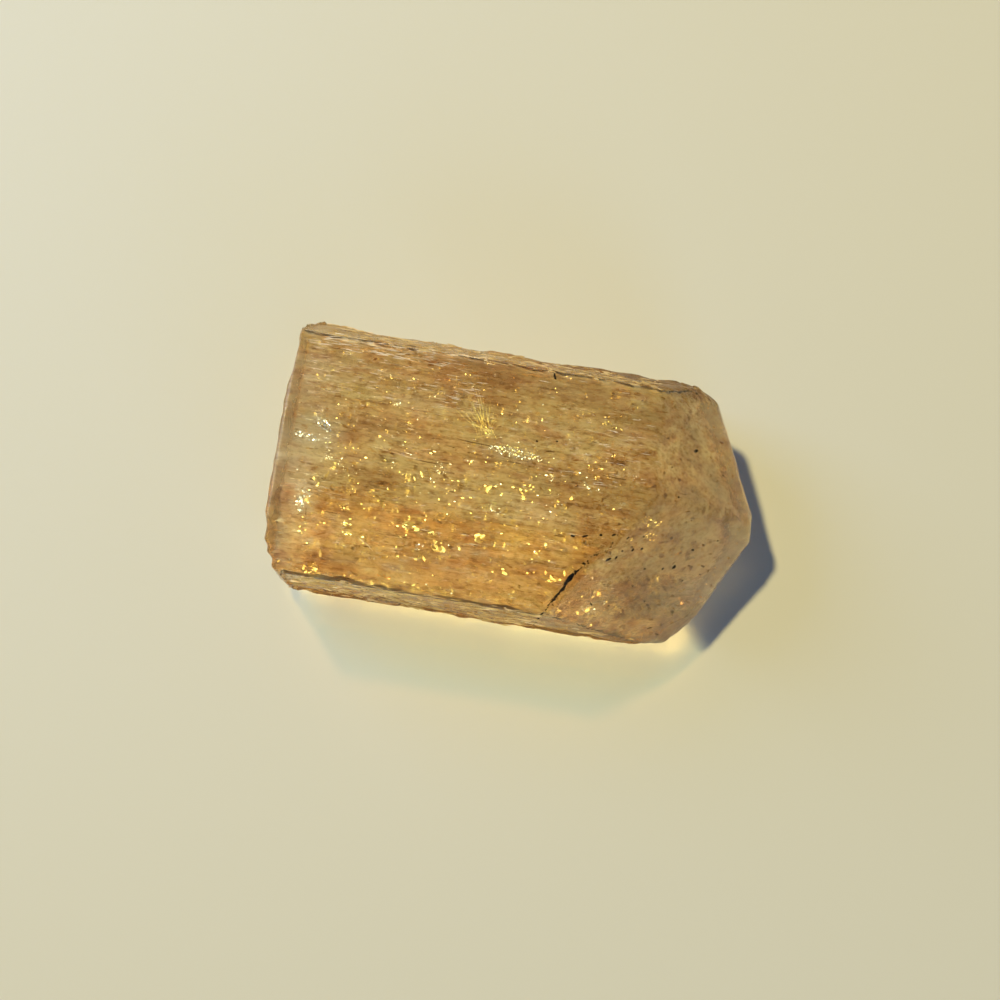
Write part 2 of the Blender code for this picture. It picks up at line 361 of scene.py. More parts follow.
def step_back(points, shape, seed):
    """Set parts of the broken end back, step by step, and leave it uneven."""
    end = -FACES["cleavage"][2]
    across, height = points[:, 1] / MM, points[:, 2] / MM
    end += shape.break_depth * lattice_noise(across / 0.6, height / 1.6, seed + 40)
    for setback, edge, side, lean in CLEAVAGE_STEPS:
        slope = math.tan(math.radians(lean))
        level = height - THICKNESS / MM / 2 - side * 14.75 * math.sin(math.radians(lean))
        beyond = side * (across - edge + slope * level)
        share = np.clip(beyond / 0.80, 0, 1)
        limit = end + setback * share * MM
        points[:, 0] = np.maximum(points[:, 0], limit)
    return points


def break_chips(points):
    """Press the surface in where a chip has broken away."""
    for number, (middle, radii) in enumerate(CHIPS, start=1):
        turn = np.array(Euler((0.35 * number, 0.5, 0.2)).to_matrix())
        middle = np.array(middle) * MM
        local = (points - middle) @ turn / (np.array(radii) * MM)
        reach = np.linalg.norm(local, axis=1)
        inside = (reach < 1) & (reach > 0.05)
        local[inside] /= reach[inside, None]
        moved = (local * np.array(radii) * MM) @ turn.T + middle
        points[inside] = moved[inside]
    return points


# The groove of the crack: how much wider than its filling, how deep, and above what height
CRACK_WIDER_MM = 0.05
CRACK_DEPTH_MM = 0.09
CRACK_ABOVE = 6 * MM


def open_crack(points):
    """Sink a narrow ragged groove along the crack."""
    route = np.array(CRACK)
    near = np.full(len(points), 1e9)
    for first, last in zip(route, route[1:]):
        run = last[:2] - first[:2]
        offset = points[:, :2] / MM - first[:2]
        share = np.clip(offset @ run / (run @ run), 0, 1)
        width = first[2] + (last[2] - first[2]) * share + CRACK_WIDER_MM
        gap = np.linalg.norm(offset - share[:, None] * run, axis=1)
        near = np.minimum(near, gap / width)
    above = points[:, 2] > CRACK_ABOVE
    depth = np.where(above, np.clip(1 - near, 0, 1), 0) * CRACK_DEPTH_MM * MM
    points[:, 2] -= depth
    return points


def build_crystal_surface(shape, seed):
    """The dense crystal surface in place of the solid model."""
    bm = sharp_crystal()
    for point, normal in rounding_planes(bm, shape):
        cut_away(bm, point, normal)
    bmesh.ops.recalc_face_normals(bm, faces=bm.faces[:])
    crystal = new_mesh_object("crystal_body", bm)
    even_cells(crystal, shape.cell, squeeze=2.2)
    mesh = crystal.data
    points = np.empty(len(mesh.vertices) * 3)
    mesh.vertices.foreach_get("co", points)
    points = sink_surface(points.reshape(-1, 3), shape, seed)
    middle = (points.min(axis=0) + points.max(axis=0)) / 2
    points = open_crack(break_chips(step_back(points, shape, seed)))
    points[:, :2] -= middle[:2]
    mesh.vertices.foreach_set("co", points.ravel())
    mesh.update()
    mesh.shade_smooth()
    return crystal


def node(tree, kind, inputs=None, **values):
    """Add a shader or geometry node, set its plain values, and set or link its inputs."""
    made = tree.nodes.new(kind)
    for name, value in values.items():
        setattr(made, name, value)
    for name, value in (inputs or {}).items():
        if isinstance(value, bpy.types.NodeSocket):
            tree.links.new(value, made.inputs[name])
        else:
            made.inputs[name].default_value = value
    return made


def calc(tree, operation, *values, kind="ShaderNodeMath"):
    """The result of a math node; each value may be a socket or plain."""
    made = node(tree, kind, dict(enumerate(values)), operation=operation)
    return made.outputs["Value" if operation == "LENGTH" else 0]


def colour_ramp(tree, value, stops):
    """Colours between the stops, by a value from 0 to 1."""
    ramp = node(tree, "ShaderNodeValToRGB", {0: value})
    while len(ramp.color_ramp.elements) < len(stops):
        ramp.color_ramp.elements.new(0.5)
    for element, (position, colour) in zip(ramp.color_ramp.elements, stops):
        element.position = position
        element.color = (*colour, 1.0)
    return ramp.outputs[0]


def object_place(tree, stretch=(1.0, 1.0, 1.0)):
    """The place in the crystal, in metres, squeezed by the stretch."""
    place = node(tree, "ShaderNodeTexCoord").outputs["Object"]
    return node(tree, "ShaderNodeMapping", {"Vector": place, "Scale": stretch}).outputs[0]


def colour_noise(tree, scale, detail, stops, stretch=(1.0, 1.0, 1.0)):
    """A colour ramp over noise in object space, stretched along the crystal if asked."""
    noise = node(tree, "ShaderNodeTexNoise", {
        "Vector": object_place(tree, stretch), "Scale": scale, "Detail": detail})
    return colour_ramp(tree, noise.outputs["Fac"], stops)


def soft_spot_group():
    """A mask that is 1 inside an ellipsoid with a ragged border and 0 outside."""
    group = bpy.data.node_groups.new("soft_spot", "ShaderNodeTree")
    for name, default in (("Middle", (0, 0, 0)), ("Radii", (MM, MM, MM))):
        made = group.interface.new_socket(name, in_out="INPUT", socket_type="NodeSocketVector")
        made.default_value = default
    for name, default in (("Softness", 0.5), ("Raggedness", 0.5)):
        made = group.interface.new_socket(name, in_out="INPUT", socket_type="NodeSocketFloat")
        made.default_value = default
    group.interface.new_socket("Mask", in_out="OUTPUT", socket_type="NodeSocketFloat")
    given = group.nodes.new("NodeGroupInput").outputs
    offset = calc(group, "SUBTRACT", object_place(group), given["Middle"],
                  kind="ShaderNodeVectorMath")
    shrunk = calc(group, "DIVIDE", offset, given["Radii"], kind="ShaderNodeVectorMath")
    reach = calc(group, "LENGTH", shrunk, kind="ShaderNodeVectorMath")
    ragged = node(group, "ShaderNodeTexNoise", {
        "Vector": object_place(group, (0.3, 1.0, 1.0)), "Scale": 650.0, "Detail": 3.0})
    centred = calc(group, "SUBTRACT", ragged.outputs["Fac"], 0.5)
    border = node(group, "ShaderNodeMapRange", {
        "Value": calc(group, "MULTIPLY_ADD", centred, given["Raggedness"], reach),
        "From Min": calc(group, "SUBTRACT", 1.0, given["Softness"]),
        "From Max": 1.0, "To Min": 1.0, "To Max": 0.0})
    group.links.new(border.outputs[0], group.nodes.new("NodeGroupOutput").inputs[0])
    return group


def spot_mask(tree, group, middle, radii, softness=0.6, raggedness=0.8):
    spot = node(tree, "ShaderNodeGroup", node_tree=group)
    for name, value in (("Middle", Vector(middle) * MM), ("Radii", Vector(radii) * MM),
                        ("Softness", softness), ("Raggedness", raggedness)):
        spot.inputs[name].default_value = value
    return spot.outputs["Mask"]


def blend(tree, factor, first, second, kind="MIX"):
    """Mix two colours; each may be a socket or plain values."""
    mix = node(tree, "ShaderNodeMix", data_type="RGBA", blend_type=kind)
    for name, value in (("Factor", factor), ("A", first), ("B", second)):
        slot = next(item for item in mix.inputs if item.name == name and item.enabled)
        if isinstance(value, bpy.types.NodeSocket):
            tree.links.new(value, slot)
        else:
            slot.default_value = value if name == "Factor" else (*value, 1.0)
    return next(item for item in mix.outputs if item.enabled)


# Parts of the crystal whose colour differs: middle and radii in millimetres, how much paler, and
# the colour that the light is multiplied by. Three of them carry painted shade: the right half, the
# steep face of the point and the broken end
COLOUR_SPOTS = {
    # The broken end: paler as a veil, and darker as painted shade against the bright paper seen through
    # it
    "pale_and_shaded_end": ((-15.4, -1.0, 7.0), (4.6, 9.5, 12.0), 0.26, (0.60, 0.58, 0.72)),
    "pale_back": ((-9.0, 8.2, 9.0), (10.5, 2.0, 6.0), 0.40, (0.82, 0.74, 0.64)),
    "back_right": ((4.0, 8.6, 8.0), (8.0, 3.0, 6.0), 0.0, (0.70, 0.64, 0.56)),
    # Painted shade: the right half darker, away from the key light
    "painted_shade_right_half": ((9.0, 0.0, 6.0), (10.5, 12.0, 12.0), 0.0, (0.60, 0.55, 0.53)),
    "brown_patch": ((-2.2, 5.4, 11.0), (3.8, 2.2, 4.0), 0.0, (0.70, 0.58, 0.50)),
    "brown_corner": ((-13.2, 4.2, 9.0), (3.4, 3.8, 6.0), 0.0, (0.66, 0.56, 0.54)),
    "brown_back": ((-6.5, 5.0, 10.0), (7.0, 2.2, 5.0), 0.0, (0.84, 0.74, 0.70)),
    "brown_feather": ((-4.6, 4.3, 11.5), (0.9, 1.2, 1.6), 0.0, (0.60, 0.50, 0.44)),
    "brown_middle": ((-6.2, -3.1, 11.5), (0.7, 0.5, 2.0), 0.0, (0.60, 0.58, 0.60)),
    "veil_middle": ((-0.4, 1.6, 11.8), (2.6, 0.8, 1.2), 0.36, (0.94, 1.0, 1.0)),
    "veil_left": ((-12.4, 1.2, 11.8), (1.8, 1.3, 1.4), 0.34, (0.92, 0.98, 1.0)),
    "veil_low": ((-12.5, -3.2, 11.8), (1.1, 1.5, 1.4), 0.34, (0.92, 0.98, 1.0)),
    "pale_front": ((-5.0, -5.4, 9.0), (9.0, 3.4, 7.0), 0.15, (0.86, 0.88, 0.96)),
    "grey_point": ((12.0, -2.5, 6.0), (6.5, 7.0, 9.0), 0.12, (0.52, 0.54, 0.64)),
    # Painted shade over the steep face of the point, where the bright paper shows through it
    "painted_shade_steep_point": ((13.4, -3.6, 8.0), (1.9, 4.2, 6.0), 0.0, (0.72, 0.70, 0.70)),
    "brown_point": ((9.5, 6.2, 8.0), (5.6, 3.6, 6.0), 0.0, (0.68, 0.66, 0.64)),
    "front_point": ((8.5, -5.5, 9.0), (5.0, 3.6, 6.0), 0.0, (0.84, 0.84, 0.88)),
}


# Layers of the body's colour, multiplied together: scale and detail of the noise, its stretch along
# the crystal, the layer's share and its colour stops. They are patches of brown, gold and cream,
# hues, streaks, flecks and grain
COLOUR_LAYERS = (
    (420.0, 6.0, 0.34, 1.0, (
        (0.34, (0.58, 0.44, 0.28)), (0.45, (0.82, 0.70, 0.46)), (0.55, (0.96, 0.88, 0.64)),
        (0.66, (1.0, 0.95, 0.86)))),
    (330.0, 3.0, 0.6, 0.9, (
        (0.40, (1.0, 0.85, 0.78)), (0.50, (1.0, 1.0, 1.0)), (0.60, (0.92, 0.93, 0.84)))),
    (2400.0, 3.0, 0.055, 0.8, (
        (0.36, (0.70, 0.62, 0.50)), (0.50, (0.96, 0.94, 0.90)), (0.62, (1.0, 1.0, 1.0)))),
    (1500.0, 5.0, 0.42, 0.85, (
        (0.36, (0.66, 0.44, 0.34)), (0.46, (0.96, 0.84, 0.74)), (0.54, (1.0, 1.0, 0.96)),
        (0.64, (0.84, 0.86, 0.80)))),
    (5200.0, 4.0, 0.45, 0.8, (
        (0.36, (0.46, 0.36, 0.28)), (0.47, (0.86, 0.82, 0.77)), (0.58, (1.0, 1.0, 1.0)))),
)
# Painted shade: a darker, deeper colour for the two steep sides seen almost edge on
STEEP_SIDE_SHADE = (0.62, 0.46, 0.28)


def glass_colour(tree, group):
    """The layers of colour, painted shade on the steep sides, then the regions that differ, some of them
    painted shade.
    """
    colour = None
    for scale, detail, along, share, stops in COLOUR_LAYERS:
        layer = colour_noise(tree, scale, detail, stops, (along, 1.0, 1.0))
        colour = blend(tree, share, colour, layer, "MULTIPLY") if colour else layer
    # The steep sides get their painted shade
    sides = blend(tree, 1.0, colour, STEEP_SIDE_SHADE, "MULTIPLY")
    colour = blend(tree, steep_sides(tree, group), colour, sides)
    for middle, radii, paler, tint in COLOUR_SPOTS.values():
        pale = blend(tree, paler, colour, (1.0, 1.0, 1.0))
        tinted = blend(tree, 1.0, pale, tint, "MULTIPLY")
        mask = spot_mask(tree, group, middle, radii, 0.6, 1.2)
        colour = blend(tree, mask, colour, tinted)
    return colour


def steep_sides(tree, group):
    """A mask of the two sides that are seen almost edge on, whose ridges are deeper and whose colour is
    darkened as painted shade.
    """
    front = spot_mask(tree, group, (0.0, -9.2, 6.0), (30.0, 1.6, 30.0), 0.15, 0.15)
    back = spot_mask(tree, group, (0.0, 9.2, 6.0), (30.0, 2.5, 30.0), 0.15, 0.15)
    return calc(tree, "MAXIMUM", front, back)


# Depth of the finest wear, on the faces and on the two steep sides
WEAR_DEPTH = 0.026 * MM
STEEP_WEAR_DEPTH = 0.30 * MM


def fine_wear(tree, group, shader):
    """Very fine scratches along the crystal and grain, as bump."""
    noise = node(tree, "ShaderNodeTexNoise", {
        "Vector": object_place(tree, (0.16, 1.0, 1.0)), "Scale": 4200.0, "Detail": 4.0})
    depth = node(tree, "ShaderNodeMapRange", {
        "Value": steep_sides(tree, group), "To Min": WEAR_DEPTH, "To Max": STEEP_WEAR_DEPTH})
    bump = node(tree, "ShaderNodeBump", {
        "Distance": depth.outputs[0], "Height": noise.outputs["Fac"]})
    tree.links.new(bump.outputs[0], shader.inputs["Normal"])


# Parts whose roughness differs: middle, radii, softness and raggedness of the part, and roughness
ROUGH_SPOTS = {
    "point": ((12.0, -2.5, 6.0), (8.0, 9.5, 10.0), 0.35, 0.5, 0.20),
    "broken_end": ((-15.5, 0.0, 6.0), (2.0, 14.0, 14.0), 0.4, 0.2, 0.50),
    "steep_sides": (None, None, None, None, 0.26),
    "front_edge": ((0.0, -7.96, 11.8), (40.0, 0.75, 0.75), 0.5, 0.3, 0.34),
    "back_edge": ((0.0, 7.13, 10.07), (40.0, 0.75, 0.75), 0.5, 0.3, 0.34),
    "underside": ((0.0, 0.0, -4.0), (60.0, 60.0, 9.0), 0.3, 0.2, 0.46),
}


def glass_roughness(tree, group):
    """Satin on the worn point, clearer on the prism faces, with finely worn patches."""
    rough = colour_noise(tree, 900.0, 4.0, (
        (0.40, (0.10, 0.10, 0.10)), (0.62, (0.24, 0.24, 0.24))), (0.25, 1.0, 1.0))
    for *part, value in ROUGH_SPOTS.values():
        mask = spot_mask(tree, group, *part) if part[0] else steep_sides(tree, group)
        rough = blend(tree, mask, rough, (value, value, value))
    return rough


# What light passes to the paper: through the prism by height over 8 mm, through the point, and what
# passes to the inside. The point's shadow begins along a slanted line
PRISM_SHADOW = (
    (0.15, (0.18, 0.22, 0.34)), (0.25, (0.68, 0.78, 0.95)), (0.50, (0.90, 0.96, 1.0)),
)
POINT_SHADOW = (0.10, 0.12, 0.18)
INSIDE_SHADOW = (0.86, 0.85, 0.84)
POINT_SHADOW_SLANT = 1.1
POINT_SHADOW_FROM = 4.4 * MM
POINT_SHADOW_FULL = 6.0 * MM


def shadow_tint(tree):
    """How much light passes to the paper: much through the prism, little through the point and
    close to the foot."""
    path = node(tree, "ShaderNodeLightPath").outputs
    deep = calc(tree, "GREATER_THAN", path["Transmission Depth"], 0.5)
    place = node(tree, "ShaderNodeSeparateXYZ", {0: object_place(tree)}).outputs
    slanted = calc(tree, "MULTIPLY_ADD", place["Y"], POINT_SHADOW_SLANT, place["X"])
    along = node(tree, "ShaderNodeMapRange", {
        "Value": slanted, "From Min": POINT_SHADOW_FROM, "From Max": POINT_SHADOW_FULL})
    height = node(tree, "ShaderNodeMapRange", {"Value": place["Z"], "From Max": 8 * MM})
    prism = colour_ramp(tree, height.outputs[0], PRISM_SHADOW)
    outside = blend(tree, along.outputs[0], prism, POINT_SHADOW)
    return path["Is Shadow Ray"], blend(tree, deep, outside, INSIDE_SHADOW)


def glass_material(look):
    """See-through topaz: plain transmission, IOR and absorption."""
    material = bpy.data.materials.new("topaz_glass")
    material.use_nodes = True
    tree = material.node_tree
    links = tree.links
    group = soft_spot_group()
    shader = tree.nodes["Principled BSDF"]
    output = tree.nodes["Material Output"]
    links.new(glass_colour(tree, group), shader.inputs["Base Color"])
    links.new(glass_roughness(tree, group), shader.inputs["Roughness"])
    fine_wear(tree, group, shader)
    shader.inputs["IOR"].default_value = look.ior
    shader.inputs["Transmission Weight"].default_value = 1.0
    is_shadow, tint = shadow_tint(tree)
    clear = node(tree, "ShaderNodeBsdfTransparent", {"Color": tint})
    mix = node(tree, "ShaderNodeMixShader", {
        0: is_shadow, 1: shader.outputs[0], 2: clear.outputs[0]})
    links.new(mix.outputs[0], output.inputs["Surface"])
    absorb = node(tree, "ShaderNodeVolumeAbsorption", {
        "Color": (*look.body, 1.0), "Density": look.density})
    links.new(absorb.outputs[0], output.inputs["Volume"])
    return material


def inclusion_material(name, stops, metallic, roughness, scale=900.0):
    """Colour of what is inside the crystal, varied from one inclusion to the next."""
    material = bpy.data.materials.new(name)
    material.use_nodes = True
    tree = material.node_tree
    shader = tree.nodes["Principled BSDF"]
    shader.inputs["Metallic"].default_value = metallic
    shader.inputs["Roughness"].default_value = roughness
    shader.inputs["Specular IOR Level"].default_value = 0.15
    colour = colour_noise(tree, scale, 2.0, stops)
    tree.links.new(colour, shader.inputs["Base Color"])
    return material


# What is inside the crystal: colour stops, metallic value and roughness
INCLUSION_LOOKS = {
    "gold": (((0.35, (1.0, 0.80, 0.32)), (0.65, (1.0, 0.94, 0.52))), 1.0, 0.40),
    "orange": (((0.35, (1.0, 0.50, 0.20)), (0.65, (1.0, 0.72, 0.38))), 1.0, 0.40),
    "silver": (((0.35, (0.80, 0.92, 0.98)), (0.65, (1.0, 1.0, 1.0))), 1.0, 0.40),
    "cream": (((0.35, (0.80, 0.68, 0.46)), (0.65, (0.96, 0.92, 0.78))), 0.0, 0.5),
    "yellow": (((0.35, (0.98, 0.84, 0.34)), (0.65, (1.0, 0.96, 0.60))), 0.3, 0.45),
    "honey": (((0.30, (0.42, 0.25, 0.10)), (0.50, (0.58, 0.40, 0.17)), (0.70, (0.80, 0.60, 0.36))),
              0.0, 0.6),
    "pale": (((0.35, (0.52, 0.38, 0.22)), (0.65, (0.78, 0.62, 0.44))), 0.0, 0.5),
    "dull": (((0.35, (0.20, 0.12, 0.05)), (0.65, (0.34, 0.22, 0.11))), 0.0, 0.5),
    "brown": (((0.35, (0.13, 0.075, 0.03)), (0.65, (0.36, 0.24, 0.11))), 0.0, 0.5),
    "black": (((0.35, (0.004, 0.003, 0.003)), (0.65, (0.03, 0.02, 0.012))), 0.0, 0.55),
}


def look_of(name):
    """The material of an inclusion look, made once."""
    found = bpy.data.materials.get(name)
    return found or inclusion_material(name, *INCLUSION_LOOKS[name])


def paper_material(look):
    material = bpy.data.materials.new("paper")
    material.use_nodes = True
    shader = material.node_tree.nodes["Principled BSDF"]
    shader.inputs["Base Color"].default_value = (*look.paper, 1.0)
    shader.inputs["Roughness"].default_value = 0.9
    return material


class TOPAZ_OT_crystal(bpy.types.Operator):
    """Build the crystal's worn and striated surface"""
    bl_idname = "topaz.crystal"
    bl_label = "Crystal"

    def execute(self, context):
        scene = context.scene
        crystal = build_crystal_surface(scene.topaz_shape, scene.topaz_look.seed)
        crystal.data.materials.append(glass_material(scene.topaz_look))
        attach(crystal, BODY)
        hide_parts(NODE)
        return {"FINISHED"}


def socket(tree, name, kind):
    return tree.interface.new_socket(name, in_out="INPUT", socket_type=kind)


def random_vector(tree, low, high, seed):
    made = node(tree, "FunctionNodeRandomValue", data_type="FLOAT_VECTOR")
    for name, value in (("Min", low), ("Max", high), ("Seed", seed)):
        tree.links.new(value, made.inputs[name])
    return made.outputs[0]


def cluster_choice(tree, given):
    """Select the points outside the clusters, which are longer along the crystal, and the points
    that lie too deep."""
    size = given["Cluster size"]
    pitch = node(tree, "ShaderNodeCombineXYZ", {
        "X": calc(tree, "MULTIPLY", size, 2.5), "Y": size, "Z": size})
    place = node(tree, "GeometryNodeInputPosition")
    shrunk = calc(tree, "DIVIDE", place.outputs[0], pitch.outputs[0], kind="ShaderNodeVectorMath")
    cluster = node(tree, "ShaderNodeTexNoise", noise_dimensions="4D")
    cluster.inputs["Scale"].default_value = 1.0
    tree.links.new(shrunk, cluster.inputs["Vector"])
    tree.links.new(given["Seed"], cluster.inputs["W"])
    nearest = node(tree, "GeometryNodeProximity")
    tree.links.new(given["Solid"], nearest.inputs["Geometry"])
    chosen = []
    for value, limit in ((cluster.outputs["Fac"], given["Cluster share"]),
                         (nearest.outputs["Distance"], given["Deepest"])):
        above = node(tree, "FunctionNodeCompare", data_type="FLOAT", operation="GREATER_THAN")
        tree.links.new(value, above.inputs["A"])
        tree.links.new(limit, above.inputs["B"])
        chosen.append(above.outputs[0])
    return calc(tree, "OR", *chosen, kind="FunctionNodeBooleanMath")


def grain_shape(tree, given):
    """A flat plate with six uneven corners, or a spindle; both one unit across."""
    plate = node(tree, "GeometryNodeMeshCylinder", {"Vertices": 6, "Radius": 0.5, "Depth": 1.0})
    uneven = node(tree, "FunctionNodeRandomValue", data_type="FLOAT_VECTOR")
    uneven.inputs["Min"].default_value = (-0.22, -0.22, 0.0)
    uneven.inputs["Max"].default_value = (0.12, 0.22, 0.0)
    shifted = node(tree, "GeometryNodeSetPosition", {
        "Geometry": plate.outputs[0], "Offset": uneven.outputs[0]})
    spindle = node(tree, "GeometryNodeMeshIcoSphere", {"Radius": 0.5})
    chosen = node(tree, "GeometryNodeSwitch", input_type="GEOMETRY")
    for name, value in (("Switch", given["Flat"]), ("False", spindle.outputs[0]),
                        ("True", shifted.outputs[0])):
        tree.links.new(value, chosen.inputs[name])
    return chosen.outputs[0]


def scatter_tree():
    """Geometry nodes that fill a solid with small spindles or flakes, in clusters."""
    found = bpy.data.node_groups.get("fill_with_inclusions")
    if found:
        return found
    tree = bpy.data.node_groups.new("fill_with_inclusions", "GeometryNodeTree")
    tree.interface.new_socket("Geometry", in_out="OUTPUT", socket_type="NodeSocketGeometry")
    socket(tree, "Solid", "NodeSocketGeometry")
    for name in ("Density", "Cluster size", "Cluster share", "Deepest"):
        socket(tree, name, "NodeSocketFloat")
    for name in ("Smallest", "Largest", "Turn from", "Turn to"):
        socket(tree, name, "NodeSocketVector")
    socket(tree, "Flat", "NodeSocketBool")
    socket(tree, "Seed", "NodeSocketInt")
    socket(tree, "Material", "NodeSocketMaterial")
    given = tree.nodes.new("NodeGroupInput").outputs
    volume = node(tree, "GeometryNodeMeshToVolume", resolution_mode="VOXEL_SIZE")
    volume.inputs["Voxel Size"].default_value = 0.15 * MM
    tree.links.new(given["Solid"], volume.inputs["Mesh"])
    points = node(tree, "GeometryNodeDistributePointsInVolume", {
        "Volume": volume.outputs[0], "Density": given["Density"], "Seed": given["Seed"]})
    kept = node(tree, "GeometryNodeDeleteGeometry", {
        "Geometry": points.outputs[0], "Selection": cluster_choice(tree, given)}, domain="POINT")
    copies = node(tree, "GeometryNodeInstanceOnPoints", {
        "Points": kept.outputs[0], "Instance": grain_shape(tree, given),
        "Rotation": random_vector(tree, given["Turn from"], given["Turn to"], given["Seed"]),
        "Scale": random_vector(tree, given["Smallest"], given["Largest"], given["Seed"])})
    whole = node(tree, "GeometryNodeRealizeInstances", {0: copies.outputs[0]})
    finish = node(tree, "GeometryNodeSetMaterial", {
        "Geometry": whole.outputs[0], "Material": given["Material"]})
    tree.links.new(finish.outputs[0], tree.nodes.new("NodeGroupOutput").inputs[0])
    return tree


def add_inclusion(piece):
    """An inclusion moves with the crystal and doesn't darken the paper by itself."""
    piece.visible_shadow = False
    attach(piece, BODY)
    return piece


def scatter(name, solid, look, flat, density, sizes, turns, cluster, deepest, seed):
    """Fill a solid with grains and keep them as one plain mesh."""
    tree = scatter_tree()
    host = new_mesh_object(name, solid)
    values = {
        "Density": density * 1e9,
        "Smallest": Vector(sizes[0]) * MM,
        "Largest": Vector(sizes[1]) * MM,
        "Turn from": Vector(turns[0]),
        "Turn to": Vector(turns[1]),
        "Cluster size": cluster[0] * MM,
        "Cluster share": cluster[1],
        "Deepest": deepest * MM,
        "Seed": seed,
        "Flat": flat,
        "Material": look_of(look),
    }
    fill = host.modifiers.new("fill", "NODES")
    fill.node_group = tree
    for item in tree.interface.items_tree:
        if item.name in values:
            fill[item.identifier] = values[item.name]
    mesh = evaluated_mesh(host)
    host.modifiers.clear()
    host.data = mesh
    if not mesh.polygons:
        raise RuntimeError(f"no grains in {name}")
    return add_inclusion(host)


def part_of_crystal(low, high, inset=0.15):
    """The solid of the crystal within a box, for what fills only part of it."""
    bm = sharp_crystal(inset * MM)
    for axis in range(3):
        outward = Vector((0.0, 0.0, 0.0))
        outward[axis] = 1.0
        cut_away(bm, outward * high[axis] * MM, outward)
        cut_away(bm, outward * low[axis] * MM, -outward)
    bmesh.ops.recalc_face_normals(bm, faces=bm.faces[:])
    return bm


# The whole inside of the crystal, and the parts that carry more of something, in millimetres: low
# and high corner, and for two of them how far they keep from the surface
ALL = ((-13.6, -9, 0.3), (16, 9, 11.6))
UPPER = ((-13.7, -9, 7.0), (16, 9, 11.7))
PRISM = ((-13.6, -9, 4.0), (7, 9, 11.7))
FRONT = ((-13, -9, 6.5), (6, 0.5, 11.7))
BACK_LEFT = ((-13.6, 1.0, 7.0), (0, 8, 11.7))
BACK_BAND = ((-14.0, 6.6, 6.0), (2, 8.6, 11.7))
END = ((-14.1, -8, 5.0), (-11.0, 8, 11.8))
POINT = ((4, -9, 1.5), (16, 9, 11.8))
POINT_TOP = ((3, -9, 4.0), (16, 9, 11.8))
PRISM_TOP = ((-13.8, -9, 7.0), (6.5, 9, 11.8))
FRONT_SIDE = ((-14.0, -9, 0.6), (9, -7.0, 11.5), 0.38)
BACK_SIDE = ((-14.0, 6.2, 0.6), (9, 9, 11.5), 0.38)
MIDDLE_TOP = ((-13, -7.5, 7.0), (6.5, 6, 11.8))

# Lie of the grains: turned about X, Y and Z. Most plates lie so that they catch the light
GLINT = ((-0.32, -0.34, -3.1), (0.14, 0.12, 3.1))
LOOSE = ((-1.2, -1.2, -0.5), (1.2, 1.2, 0.5))
LENGTHWISE = ((-3.1, -0.05, -0.07), (3.1, 0.05, 0.07))

